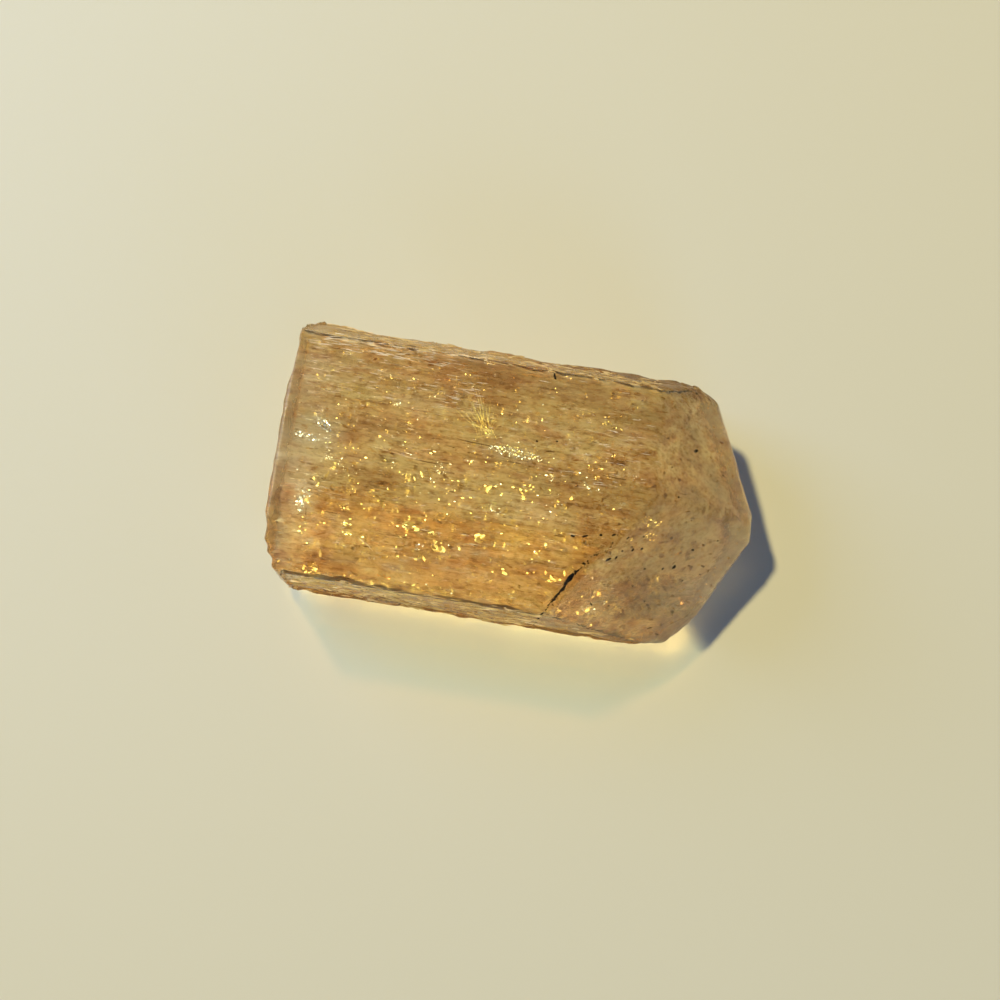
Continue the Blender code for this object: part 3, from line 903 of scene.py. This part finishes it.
# Grains all through the crystal: look, plate or spindle, part, number per cubic millimetre,
# smallest and largest size in millimetres, lie, cluster size and share, deepest, seed
GRAINS = {
    "honey_haze": ("honey", False, ALL, 2.6, ((0.15, 0.04, 0.02), (0.9, 0.18, 0.06)), LOOSE,
                   (1.2, 0.52), 9.0, 21),
    "honey_point": ("honey", True, POINT, 7.0, ((0.06, 0.05, 0.02), (0.30, 0.20, 0.06)), LOOSE,
                    (0.7, 0.52), 9.0, 31),
    "cream_haze": ("cream", False, UPPER, 2.6, ((0.06, 0.03, 0.02), (0.40, 0.09, 0.04)), LOOSE,
                   (1.0, 0.50), 9.0, 22),
    "end_haze": ("cream", False, END, 8.0, ((0.10, 0.03, 0.02), (0.7, 0.10, 0.05)), LENGTHWISE,
                 (1.0, 0.52), 9.0, 38),
    "gold_flakes": ("gold", True, PRISM, 1.2, ((0.05, 0.03, 0.01), (0.26, 0.12, 0.02)), GLINT,
                    (1.2, 0.50), 9.0, 23),
    "front_gold_flakes": ("gold", True, FRONT, 0.7, ((0.08, 0.04, 0.01), (0.42, 0.18, 0.03)), GLINT,
                          (1.0, 0.46), 9.0, 24),
    "silver_dust": ("silver", True, BACK_LEFT, 2.6, ((0.03, 0.02, 0.01), (0.12, 0.06, 0.02)), GLINT,
                    (0.8, 0.50), 9.0, 25),
    "cream_tubes": ("cream", False, PRISM, 1.4, ((0.4, 0.02, 0.02), (2.2, 0.06, 0.05)), LENGTHWISE,
                    (1.3, 0.52), 9.0, 26),
    "band_tubes": ("cream", False, BACK_BAND, 7.0, ((0.5, 0.02, 0.02), (3.0, 0.07, 0.05)), LENGTHWISE,
                   (1.0, 0.52), 9.0, 36),
    "brown_tubes": ("brown", False, PRISM, 1.1, ((0.3, 0.02, 0.02), (2.0, 0.07, 0.05)), LENGTHWISE,
                    (1.3, 0.52), 9.0, 27),
    "shallow_honey": ("honey", False, PRISM_TOP, 34.0, ((0.10, 0.03, 0.02), (0.60, 0.10, 0.04)),
                      LENGTHWISE, (0.9, 0.52), 0.35, 41),
    "shallow_brown": ("brown", False, PRISM_TOP, 6.0, ((0.06, 0.02, 0.02), (0.45, 0.06, 0.03)),
                      LENGTHWISE, (0.8, 0.50), 0.35, 42),
    "shallow_cream": ("cream", False, PRISM_TOP, 20.0, ((0.06, 0.02, 0.02), (0.80, 0.06, 0.03)),
                      LENGTHWISE, (0.9, 0.50), 0.35, 43),
    "shallow_gold": ("gold", True, MIDDLE_TOP, 44.0, ((0.02, 0.02, 0.01), (0.14, 0.07, 0.02)), GLINT,
                     (0.8, 0.50), 0.40, 44),
    "shallow_silver": ("silver", True, MIDDLE_TOP, 20.0, ((0.03, 0.02, 0.01), (0.14, 0.07, 0.02)),
                       GLINT, (0.7, 0.48), 0.35, 45),
    "front_honey": ("honey", False, FRONT_SIDE, 22.0, ((0.20, 0.12, 0.10), (1.2, 0.30, 0.24)),
                    LENGTHWISE, (0.9, 0.42), 0.9, 51),
    "front_gold": ("gold", True, FRONT_SIDE, 8.0, ((0.05, 0.03, 0.01), (0.3, 0.10, 0.03)), GLINT,
                   (0.9, 0.50), 0.45, 52),
    "back_honey": ("honey", False, BACK_SIDE, 22.0, ((0.20, 0.12, 0.10), (1.2, 0.30, 0.24)),
                   LENGTHWISE, (0.9, 0.42), 0.9, 53),
    "point_honey": ("honey", True, POINT_TOP, 34.0, ((0.06, 0.04, 0.02), (0.40, 0.16, 0.05)), LOOSE,
                    (0.7, 0.52), 0.35, 46),
    "point_brown": ("brown", True, POINT_TOP, 7.0, ((0.03, 0.03, 0.02), (0.20, 0.09, 0.04)), LOOSE,
                    (0.7, 0.50), 0.30, 47),
    "point_cream": ("cream", True, POINT_TOP, 16.0, ((0.04, 0.03, 0.01), (0.34, 0.09, 0.03)), LOOSE,
                    (0.7, 0.50), 0.30, 48),
    "point_orange": ("orange", True, POINT_TOP, 4.0, ((0.03, 0.02, 0.01), (0.16, 0.08, 0.02)), LOOSE,
                     (0.8, 0.50), 0.30, 49),
    "point_silver": ("silver", True, POINT_TOP, 4.0, ((0.03, 0.02, 0.01), (0.14, 0.06, 0.02)), LOOSE,
                     (0.8, 0.50), 0.30, 50),
}


class TOPAZ_OT_grains(bpy.types.Operator):
    """Fill the crystal with haze, flakes and growth tubes"""
    bl_idname = "topaz.grains"
    bl_label = "Haze, flakes and tubes"

    def execute(self, context):
        for name, (look, flat, part, density, sizes, turns, cluster, deepest, seed) in GRAINS.items():
            solid = part_of_crystal(*part)
            scatter(name, solid, look, flat, density, sizes, turns, cluster, deepest, seed)
        return {"FINISHED"}


def surface_above():
    """A search tree of the crystal's surface."""
    crystal = bpy.data.objects.get("crystal_body")
    if crystal is None:
        raise RuntimeError("build the crystal first")
    return BVHTree.FromObject(crystal, bpy.context.evaluated_depsgraph_get())


def on_surface(tree, along, across, depth=0.0):
    """The place on the upper surface, in metres, moved in by a depth; all given in millimetres."""
    start = Vector((along * MM, across * MM, 2 * THICKNESS))
    found, normal, _, _ = tree.ray_cast(start, Vector((0.0, 0.0, -1.0)))
    if found is None:
        raise RuntimeError(f"no surface at {along}, {across}")
    return found - normal * depth * MM


def add_plate(bm, middle, size, turns, rng):
    """A thin flat plate with uneven corners."""
    corners = rng.randint(5, 7)
    turn = Matrix.Translation(middle) @ Euler(turns).to_matrix().to_4x4()
    rings = []
    shape = []
    for corner in range(corners):
        angle = 2 * math.pi * (corner + rng.uniform(-0.25, 0.25)) / corners
        reach = rng.uniform(0.34, 0.55)
        shape.append((math.cos(angle) * reach * size[0], math.sin(angle) * reach * size[1]))
    for level in (-0.5, 0.5):
        rings.append([bm.verts.new(turn @ Vector((x, y, level * size[2])) ) for x, y in shape])
    bm.faces.new(rings[1])
    bm.faces.new(rings[0][::-1])
    for corner in range(corners):
        after = (corner + 1) % corners
        bm.faces.new((rings[0][corner], rings[0][after], rings[1][after], rings[1][corner]))


# Bright clusters seen in the photo: look, place along and across, length, width and turn of the
# cluster, number of plates, size of the largest plate; in millimetres and degrees
CLUSTERS = (
    ("silver", -12.0, 1.45, 1.1, 0.50, -35, 60, 0.26), ("silver", -12.9, 0.60, 1.7, 0.42, -12, 60, 0.22),
    ("silver", -11.3, -0.30, 0.7, 0.90, 0, 40, 0.14), ("silver", -12.5, -2.80, 0.8, 0.9, 0, 60, 0.20),
    ("silver", -12.6, -3.60, 0.5, 0.9, 10, 40, 0.26), ("gold", -9.7, -2.0, 0.7, 1.5, 0, 50, 0.16),
    ("gold", -10.1, -3.3, 1.1, 0.6, -25, 44, 0.22), ("gold", -9.7, -4.2, 0.6, 0.3, 0, 16, 0.22),
    ("silver", -4.7, -0.1, 0.9, 0.9, 45, 60, 0.15), ("silver", -0.4, 1.6, 3.6, 0.55, -4, 150, 0.20),
    ("gold", -0.2, 1.7, 3.0, 0.7, -4, 50, 0.22), ("silver", -1.0, -2.1, 1.4, 0.18, 0, 40, 0.16),
    ("gold", 0.55, -0.4, 1.1, 0.6, 20, 50, 0.22), ("silver", 1.9, 0.5, 0.7, 0.4, 0, 30, 0.18),
    ("gold", 4.2, 1.4, 0.35, 0.5, 0, 14, 0.24), ("gold", 4.7, 0.95, 0.3, 0.4, 0, 12, 0.22),
    ("silver", 4.2, 0.3, 0.8, 0.2, -45, 26, 0.20), ("silver", 6.9, 1.3, 0.9, 0.5, 0, 36, 0.14),
    ("silver", 6.4, -0.5, 0.7, 0.25, 50, 20, 0.16), ("gold", 8.4, -1.1, 1.3, 0.6, 0, 50, 0.24),
    ("gold", 8.5, -1.9, 0.8, 0.5, 0, 30, 0.24), ("orange", 10.3, -2.5, 0.7, 0.25, 40, 18, 0.16),
    ("silver", 13.2, -0.3, 0.6, 0.5, 0, 18, 0.12), ("gold", 9.4, -4.2, 0.2, 0.5, 0, 8, 0.28),
    ("orange", 11.1, -5.1, 0.5, 0.4, -30, 16, 0.28), ("gold", 7.2, -6.4, 0.8, 0.2, -25, 20, 0.20),
    ("silver", 5.5, -6.9, 1.0, 0.4, 0, 26, 0.14), ("gold", 3.0, -5.5, 1.0, 0.26, 0, 18, 0.70),
    ("silver", 1.9, -4.1, 0.5, 0.2, 0, 10, 0.20), ("gold", -1.65, -3.8, 0.55, 0.5, 0, 22, 0.72),
    ("gold", -6.0, -3.7, 0.7, 0.5, 0, 26, 0.55), ("gold", -4.0, -4.8, 0.9, 0.35, 0, 26, 0.70),
    ("gold", -4.5, -3.95, 0.5, 0.2, -20, 14, 0.45), ("silver", -5.2, -4.9, 0.6, 0.4, 0, 18, 0.20),
    ("gold", -11.4, -7.2, 0.9, 0.7, 0, 44, 0.34), ("gold", -9.5, -4.8, 0.8, 0.18, -12, 14, 0.30),
    ("gold", -7.2, -5.9, 0.7, 0.2, 20, 12, 0.26), ("orange", -7.0, -7.0, 1.0, 0.2, 0, 16, 0.26),
    ("gold", -12.1, 5.0, 0.5, 0.2, 0, 8, 0.16), ("gold", -8.5, 5.0, 0.8, 0.4, 20, 18, 0.16),
    ("gold", -7.2, 5.2, 0.8, 0.15, 0, 12, 0.22), ("gold", -11.3, 4.0, 0.25, 0.5, 0, 10, 0.16),
    ("silver", -7.9, 3.5, 0.6, 0.4, 0, 24, 0.14), ("gold", -7.0, 2.4, 0.5, 0.3, 0, 14, 0.24),
    ("gold", -9.9, 0.3, 0.6, 0.6, 0, 24, 0.14), ("gold", -2.7, 7.1, 0.6, 0.3, 0, 16, 0.20),
    ("gold", -3.8, 7.4, 0.7, 0.2, -20, 14, 0.18), ("gold", 1.5, 7.5, 0.5, 0.15, 0, 8, 0.16),
    ("orange", 1.9, 6.8, 0.6, 0.5, 0, 12, 0.18), ("silver", -10.0, -0.9, 2.0, 1.2, 0, 40, 0.10),
)


def cluster_places(look):
    return [cluster[1:] for cluster in CLUSTERS if cluster[0] == look]


class TOPAZ_OT_clusters(bpy.types.Operator):
    """Lay the bright clusters where the photo shows them, just under the surface"""
    bl_idname = "topaz.clusters"
    bl_label = "Bright clusters"

    def execute(self, context):
        surface = surface_above()
        for look in ("gold", "orange", "silver"):
            rng = random.Random(f"{look} clusters")
            bm = bmesh.new()
            for along, across, length, width, turn, count, largest in cluster_places(look):
                angle = math.radians(turn)
                for _ in range(count):
                    out = math.sqrt(rng.random()) / 2
                    way = rng.uniform(0, 2 * math.pi)
                    x = out * math.cos(way) * length
                    y = out * math.sin(way) * width
                    place = on_surface(
                        surface, along + x * math.cos(angle) - y * math.sin(angle),
                        across + x * math.sin(angle) + y * math.cos(angle), rng.uniform(0.08, 0.40))
                    size = largest * rng.uniform(0.2, 0.75) * MM
                    turns = (rng.gauss(-0.09, 0.2), rng.gauss(-0.11, 0.2),
                             angle + rng.gauss(0, 0.5))
                    add_plate(bm, place, (size, size * rng.uniform(0.25, 0.7), 0.015 * MM), turns, rng)
            piece = new_mesh_object(f"{look}_clusters", bm)
            piece.data.materials.append(look_of(look))
            add_inclusion(piece)
        return {"FINISHED"}


# Single lines seen in the photo: look, half thickness, then places along and across and how deep
STRANDS = (
    ("cream", 0.035, ((-9.2, 0.62, 0.3), (-7.6, 0.45, 0.25), (-6.6, 0.30, 0.3), (-5.7, 0.31, 0.4))),
    ("cream", 0.02, ((-8.9, 0.75, 0.4), (-7.4, 0.6, 0.4), (-6.2, 0.5, 0.5))),
    ("brown", 0.03, ((-6.2, 0.25, 0.3), (-5.4, 0.22, 0.3), (-4.9, 0.24, 0.4))),
    ("brown", 0.035, ((-4.0, 1.9, 0.3), (-2.9, 1.82, 0.3), (-1.7, 1.80, 0.35))),
    ("cream", 0.03, ((3.3, 3.85, 0.4), (4.4, 3.75, 0.3), (5.7, 3.6, 0.4))),
    ("brown", 0.045, ((-12.2, -3.7, 0.15), (-12.15, -4.15, 0.15))),
    ("brown", 0.03, ((-7.95, 5.0, 0.15), (-7.95, 4.6, 0.15))),
    ("cream", 0.03, ((-8.9, -4.9, 0.3), (-8.3, -5.2, 0.3), (-7.8, -5.6, 0.35))),
    ("cream", 0.03, ((2.3, -3.2, 0.3), (3.0, -3.25, 0.3), (3.7, -3.5, 0.35))),
    ("cream", 0.03, ((-5.2, 6.1, 0.2), (-4.4, 6.3, 0.2), (-3.5, 6.35, 0.25))),
    ("cream", 0.04, ((-13.6, 7.2, 0.2), (-12.0, 7.3, 0.2), (-10.0, 7.25, 0.2), (-8.2, 7.05, 0.3))),
    ("brown", 0.035, ((-11.0, 6.85, 0.2), (-9.6, 6.75, 0.2), (-7.6, 6.7, 0.25))),
    ("cream", 0.03, ((-7.2, 6.5, 0.2), (-5.6, 6.5, 0.2), (-4.4, 6.6, 0.3))),
)
FEATHER_ROOT = (-2.2, 2.2)
FEATHER_TIPS = (
    (-4.3, 4.0), (-4.2, 4.5), (-3.9, 4.9), (-3.5, 5.4), (-3.2, 5.1), (-3.1, 4.6), (-2.9, 4.9),
    (-2.6, 4.2), (-2.4, 4.6), (-2.1, 3.9), (-1.9, 3.6), (-3.7, 3.6), (-1.6, 3.2), (-4.0, 3.4),
    (-3.4, 4.2), (-3.6, 4.6), (-2.7, 3.6), (-2.3, 3.3), (-4.4, 3.7), (-3.0, 3.9), (-1.8, 2.9),
)


def add_strands(name, look, lines):
    """Thin lines of one look as one mesh; each line is a half thickness and its places."""
    curve = bpy.data.curves.new(name, "CURVE")
    curve.dimensions = "3D"
    curve.bevel_depth = MM
    curve.bevel_resolution = 1
    curve.resolution_u = 3
    curve.use_fill_caps = True
    for thickness, places in lines:
        spline = curve.splines.new("NURBS")
        spline.use_endpoint_u = True
        spline.order_u = min(3, len(places))
        spline.points.add(len(places) - 1)
        for number, (point, place) in enumerate(zip(spline.points, places)):
            point.co = (*place, 1.0)
            point.radius = thickness * (0.35 if number in (0, len(places) - 1) else 1.0)
    guide = link_object(name, curve)
    mesh = evaluated_mesh(guide)
    bpy.data.objects.remove(guide)
    piece = link_object(name, mesh)
    mesh.materials.clear()
    mesh.materials.append(look_of(look))
    add_inclusion(piece)


# How fine marks lie: turn about X and about Y in radians, and how much both differ
FLAT = (0.0, 0.0, 0.05)
FRONT_LEDGE = (0.16, 0.0, 0.20)
BACK_LEDGE = (-0.22, 0.0, 0.20)
GLITTER = (-0.09, -0.11, 0.17)

# Fine marks on the faces: look, number, side (0 is the top), low and high corner of the part that
# they cover, longest and widest mark in millimetres, and lie
MARKS = (
    ("pale", 210, 0, (-13.6, 3.6), (-3.0, 7.0), 1.5, 0.055, FLAT),
    ("pale", 300, 0, (-13.4, -7.2), (7.0, 6.8), 1.1, 0.050, FLAT),
    ("pale", 110, 0, (-13.8, 6.2), (-4.0, 7.2), 2.4, 0.070, FLAT),
    ("pale", 130, 0, (1.0, 0.5), (8.0, 5.0), 0.9, 0.045, FLAT),
    ("dull", 190, 0, (-13.4, -7.2), (7.0, 6.8), 0.8, 0.045, FLAT),
    ("honey", 150, 0, (-12.6, -8.12), (2.3, -7.65), 1.5, 0.12, FRONT_LEDGE),
    ("honey", 130, 0, (-12.6, 6.95), (7.0, 7.45), 1.5, 0.12, BACK_LEDGE),
    ("honey", 780, -1, (-12.6, 0.4), (2.4, 11.6), 1.5, 0.21, FRONT_LEDGE),
    ("honey", 100, -1, (2.4, 0.4), (8.5, 6.0), 1.5, 0.15, FRONT_LEDGE),
    ("dull", 180, -1, (-12.6, 0.4), (2.4, 11.6), 1.2, 0.16, FRONT_LEDGE),
    ("honey", 620, 1, (-12.8, 0.4), (7.5, 10.0), 1.5, 0.19, BACK_LEDGE),
    ("dull", 190, 1, (-12.8, 0.4), (7.5, 10.0), 1.2, 0.13, BACK_LEDGE),
    ("gold", 190, 0, (-12.4, -5.8), (3.0, 1.5), 0.24, 0.12, GLITTER),
    ("gold", 60, 0, (-12.4, 1.5), (6.0, 6.2), 0.20, 0.10, GLITTER),
    ("silver", 70, 0, (-8.0, -2.0), (6.5, 3.0), 0.20, 0.10, GLITTER),
    ("silver", 30, 0, (-13.2, -4.5), (-10.0, 2.5), 0.20, 0.10, GLITTER),
)


def on_side(tree, side, along, height, depth):
    """The place on the front or back side, in metres, moved in by a depth in millimetres."""
    start = Vector((along * MM, side * 20 * MM, height * MM))
    found, normal, _, _ = tree.ray_cast(start, Vector((0.0, -side, 0.0)))
    if found is None:
        raise RuntimeError(f"no side at {along}, {height}")
    return found - normal * depth * MM


class TOPAZ_OT_marks(bpy.types.Operator):
    """Lay fine marks along the upper faces, ledges on the sides and glitter below the top"""
    bl_idname = "topaz.marks"
    bl_label = "Fine marks"

    def execute(self, context):
        surface = surface_above()
        rng = random.Random("marks")
        for look in ("pale", "dull", "honey", "gold", "silver"):
            bm = bmesh.new()
            rows = [row[1:] for row in MARKS if row[0] == look]
            for count, side, low, high, longest, widest, (turn_x, turn_y, spread) in rows:
                for _ in range(count):
                    along = rng.uniform(low[0], high[0])
                    other = rng.uniform(low[1], high[1])
                    if side:
                        place = on_side(surface, side, along, other, rng.uniform(-0.01, 0.05))
                    elif look in ("gold", "silver"):
                        place = on_surface(surface, along, other, rng.uniform(0.03, 0.15))
                    else:
                        place = on_surface(surface, along, other, rng.uniform(-0.01, 0.02))
                    share = rng.uniform(0.15, 1.0) ** 2
                    size = (longest * share * MM, widest * rng.uniform(0.4, 1.0) * MM, 0.02 * MM)
                    turns = (turn_x + rng.gauss(0, spread), turn_y + rng.gauss(0, spread * 0.6),
                             rng.gauss(0, 0.08))
                    add_plate(bm, place, size, turns, rng)
            piece = new_mesh_object(f"{look}_marks", bm)
            piece.data.materials.append(look_of(look))
            add_inclusion(piece)
        return {"FINISHED"}


class TOPAZ_OT_strands(bpy.types.Operator):
    """Draw the single lines and the feather-shaped healed crack"""
    bl_idname = "topaz.strands"
    bl_label = "Lines and feather"

    def execute(self, context):
        surface = surface_above()
        for look in ("cream", "brown"):
            lines = [
                (thickness, [on_surface(surface, *place) for place in places])
                for kind, thickness, places in STRANDS if kind == look]
            add_strands(f"{look}_lines", look, lines)
        rng = random.Random("feather")
        lines = []
        for along, across in FEATHER_TIPS:
            bend = rng.uniform(-0.10, 0.10)
            middle = ((FEATHER_ROOT[0] + along) / 2 + bend, (FEATHER_ROOT[1] + across) / 2)
            start = (FEATHER_ROOT[0] + rng.uniform(-0.6, 0.6), FEATHER_ROOT[1] + rng.uniform(0, 0.5))
            places = [on_surface(surface, *place, rng.uniform(0.08, 0.3))
                      for place in (start, middle, (along, across))]
            lines.append((rng.uniform(0.012, 0.030), places))
        add_strands("feather", "yellow", lines)
        return {"FINISHED"}


# Dark specks on the surface: place along and across, length, width and turn
SPECKS = (
    (3.82, -2.75, 0.30, 0.12, 10), (4.53, -2.65, 0.35, 0.10, 20), (5.46, -2.43, 0.20, 0.12, 0),
    (6.23, -2.30, 0.26, 0.10, 30), (7.52, -2.88, 0.24, 0.14, 60), (8.06, -2.70, 0.20, 0.12, 20),
    (8.45, -3.77, 0.14, 0.10, 0), (9.55, -3.52, 0.18, 0.12, 40), (8.05, -2.01, 0.14, 0.10, 0),
    (11.18, -2.04, 0.20, 0.12, 0), (9.74, 0.73, 0.14, 0.10, 0), (12.63, -1.17, 0.12, 0.10, 0),
    (5.57, -6.46, 0.24, 0.10, -40), (6.67, -6.34, 0.14, 0.10, 0), (9.41, -7.04, 0.40, 0.08, 20),
    (9.91, -7.29, 0.30, 0.08, -10), (0.77, 2.53, 0.14, 0.10, 0), (1.95, 2.73, 0.14, 0.10, 0),
    (9.87, 7.41, 0.14, 0.10, 0), (10.21, -3.26, 0.30, 0.22, 50), (1.19, 6.74, 0.14, 0.42, 20),
    (10.36, 3.82, 0.36, 0.16, 25), (7.1, -2.3, 0.22, 0.10, 50), (6.9, -3.1, 0.16, 0.10, 0),
    (7.9, -4.9, 0.12, 0.08, 0), (4.72, -4.28, 0.22, 0.12, 0), (6.15, -3.75, 0.36, 0.16, 30),
    (6.60, -3.55, 0.26, 0.14, 60), (5.0, -4.2, 0.12, 0.08, 0),
    (10.9, -3.9, 0.14, 0.08, 30), (8.8, -5.6, 0.12, 0.08, 0), (11.9, -3.3, 0.12, 0.08, 0),
)


def add_lump(bm, middle, radii, turn, rng):
    """A small uneven lump."""
    made = bmesh.ops.create_icosphere(bm, subdivisions=2, radius=1.0)
    matrix = Matrix.Translation(middle) @ Matrix.Rotation(turn, 4, "Z")
    for vert in made["verts"]:
        uneven = rng.uniform(0.7, 1.15)
        vert.co = matrix @ Vector([way * radius * uneven for way, radius in zip(vert.co, radii)])


class TOPAZ_OT_specks(bpy.types.Operator):
    """Fill the open crack with dark earth and add the dark specks"""
    bl_idname = "topaz.specks"
    bl_label = "Dark specks"

    def execute(self, context):
        surface = surface_above()
        rng = random.Random("specks")
        bm = bmesh.new()
        for along, across, length, width, turn in SPECKS:
            place = on_surface(surface, along, across, 0.05)
            radii = (0.55 * length * MM, 0.6 * width * MM, 0.07 * MM)
            add_lump(bm, place, radii, math.radians(turn), rng)
        for first, last in zip(CRACK, CRACK[1:]):
            turn = math.atan2(last[1] - first[1], last[0] - first[0])
            steps = 7
            for step in range(steps):
                share = (step + rng.uniform(0.1, 0.9)) / steps
                along, across, half = (a + (b - a) * share for a, b in zip(first, last))
                if first[0] > 4.2 and rng.random() < 0.7:
                    continue
                size = half * rng.uniform(0.5, 1.3)
                place = on_surface(surface, along + rng.gauss(0, 0.03), across + rng.gauss(0, 0.03))
                angle = turn + rng.gauss(0, 0.35)
                add_lump(bm, place, (2.0 * size * MM, size * MM, 0.10 * MM), angle, rng)
        for along, across, length, width in ((4.02, -5.33, 0.26, 0.15), (4.16, -5.10, 0.18, 0.12),
                                             (3.70, -5.98, 0.20, 0.07)):
            place = on_surface(surface, along, across)
            add_lump(bm, place, (length * MM, width * MM, 0.12 * MM), 1.0, rng)
        bmesh.ops.recalc_face_normals(bm, faces=bm.faces[:])
        piece = new_mesh_object("dark_specks", bm)
        piece.data.materials.append(look_of("black"))
        add_inclusion(piece)
        return {"FINISHED"}


def area_light(name, place, size, power, colour, mirrored=True):
    """A square soft light that points at the crystal and throws no bright patches through it."""
    light = bpy.data.lights.new(name, "AREA")
    light.size = size
    light.energy = power
    light.color = colour
    lamp = link_object(name, light)
    lamp.location = place
    lamp.visible_transmission = False
    lamp.visible_glossy = mirrored
    lamp.rotation_euler = (CENTRE - place).to_track_quat("-Z", "Y").to_euler()


# The camera as in the photograph: turned round the crystal, almost straight above
VIEW_TURN = 9.4
VIEW_HEIGHT = 85.0
VIEW_DISTANCE = 260 * MM
FRAME_WIDTH = 61.2 * MM
CRYSTAL_RIGHT_OF_MIDDLE = 0.0170 * FRAME_WIDTH
CRYSTAL_ABOVE_MIDDLE = 0.0110 * FRAME_WIDTH


def add_camera():
    turn = math.radians(VIEW_TURN)
    height = math.radians(VIEW_HEIGHT)
    right = Vector((math.cos(turn), math.sin(turn), 0.0))
    ahead = Vector((-math.sin(turn) * math.cos(height), math.cos(turn) * math.cos(height),
                    -math.sin(height)))
    up = right.cross(ahead)
    aim = CENTRE - right * CRYSTAL_RIGHT_OF_MIDDLE - up * CRYSTAL_ABOVE_MIDDLE
    lens = bpy.data.cameras.new("camera")
    lens.sensor_width = 36.0
    lens.lens = lens.sensor_width * VIEW_DISTANCE / FRAME_WIDTH
    lens.clip_start = 0.01
    camera = link_object("camera", lens)
    camera.location = aim - ahead * VIEW_DISTANCE
    camera.rotation_euler = Matrix((right, up, -ahead)).transposed().to_euler()
    bpy.context.scene.camera = camera


class TOPAZ_OT_stage(bpy.types.Operator):
    """Lay the paper, set the lights and the camera"""
    bl_idname = "topaz.stage"
    bl_label = "Stage"

    def execute(self, context):
        look = context.scene.topaz_look
        bm = bmesh.new()
        bmesh.ops.create_grid(bm, x_segments=1, y_segments=1, size=0.6)
        floor = new_mesh_object("paper", bm)
        floor.data.materials.append(paper_material(look))
        key_way = Vector((-0.35, 0.36, 0.87)).normalized()
        area_light("key", CENTRE + key_way * 0.70, 0.044, 4.5, (1.0, 0.91, 0.49))
        area_light("cool", Vector((-0.12, 0.06, 0.10)), 0.08, 0.15, (0.24, 0.44, 1.0))
        area_light("cool_front", Vector((0.10, -0.14, 0.10)), 0.08, 0.09, (0.20, 0.44, 1.0),
                   mirrored=False)
        area_light("fill", CENTRE + Vector((0.25, 0.10, 0.30)), 0.30, 0.05, (0.86, 0.92, 1.0))
        area_light("side", CENTRE + Vector((-0.10, -0.35, 0.18)), 0.25, 0.02, (1.0, 0.95, 0.88))
        world = bpy.data.worlds.new("studio")
        world.use_nodes = True
        tree = world.node_tree
        background = tree.nodes["Background"]
        place = node(tree, "ShaderNodeTexCoord").outputs["Generated"]
        height = node(tree, "ShaderNodeSeparateXYZ", {0: place}).outputs["Z"]
        sky = colour_ramp(tree, height, ((0.0, (0.34, 0.40, 0.50)), (1.0, (0.64, 0.75, 0.88))))
        tree.links.new(sky, background.inputs["Color"])
        background.inputs["Strength"].default_value = 0.07
        context.scene.world = world
        context.scene.view_settings.view_transform = "Standard"
        add_camera()
        return {"FINISHED"}


class TOPAZ_PT_panel(bpy.types.Panel):
    """Lists what builds the crystal"""
    bl_idname = "TOPAZ_PT_panel"
    bl_label = "Topaz crystal"
    bl_space_type = "VIEW_3D"
    bl_region_type = "UI"
    bl_category = "Topaz"

    def draw(self, context):
        layout = self.layout
        for group in (context.scene.topaz_shape, context.scene.topaz_look):
            box = layout.box()
            for name in group.__annotations__:
                box.prop(group, name)
        for operator in OPERATORS:
            layout.operator(operator.bl_idname)


OPERATORS = (
    TOPAZ_OT_crystal, TOPAZ_OT_grains, TOPAZ_OT_clusters, TOPAZ_OT_marks, TOPAZ_OT_strands,
    TOPAZ_OT_specks, TOPAZ_OT_stage,
)
CLASSES = (TopazShape, TopazLook, *OPERATORS, TOPAZ_PT_panel)


def register():
    for item in CLASSES:
        bpy.utils.register_class(item)
    bpy.types.Scene.topaz_shape = PointerProperty(type=TopazShape)
    bpy.types.Scene.topaz_look = PointerProperty(type=TopazLook)


def unregister():
    del bpy.types.Scene.topaz_look
    del bpy.types.Scene.topaz_shape
    for item in reversed(CLASSES):
        bpy.utils.unregister_class(item)


def main():
    register()
    bpy.ops.topaz.crystal()
    bpy.ops.topaz.grains()
    bpy.ops.topaz.clusters()
    bpy.ops.topaz.marks()
    bpy.ops.topaz.strands()
    bpy.ops.topaz.specks()
    bpy.ops.topaz.stage()


if __name__ == "__main__":
    main()
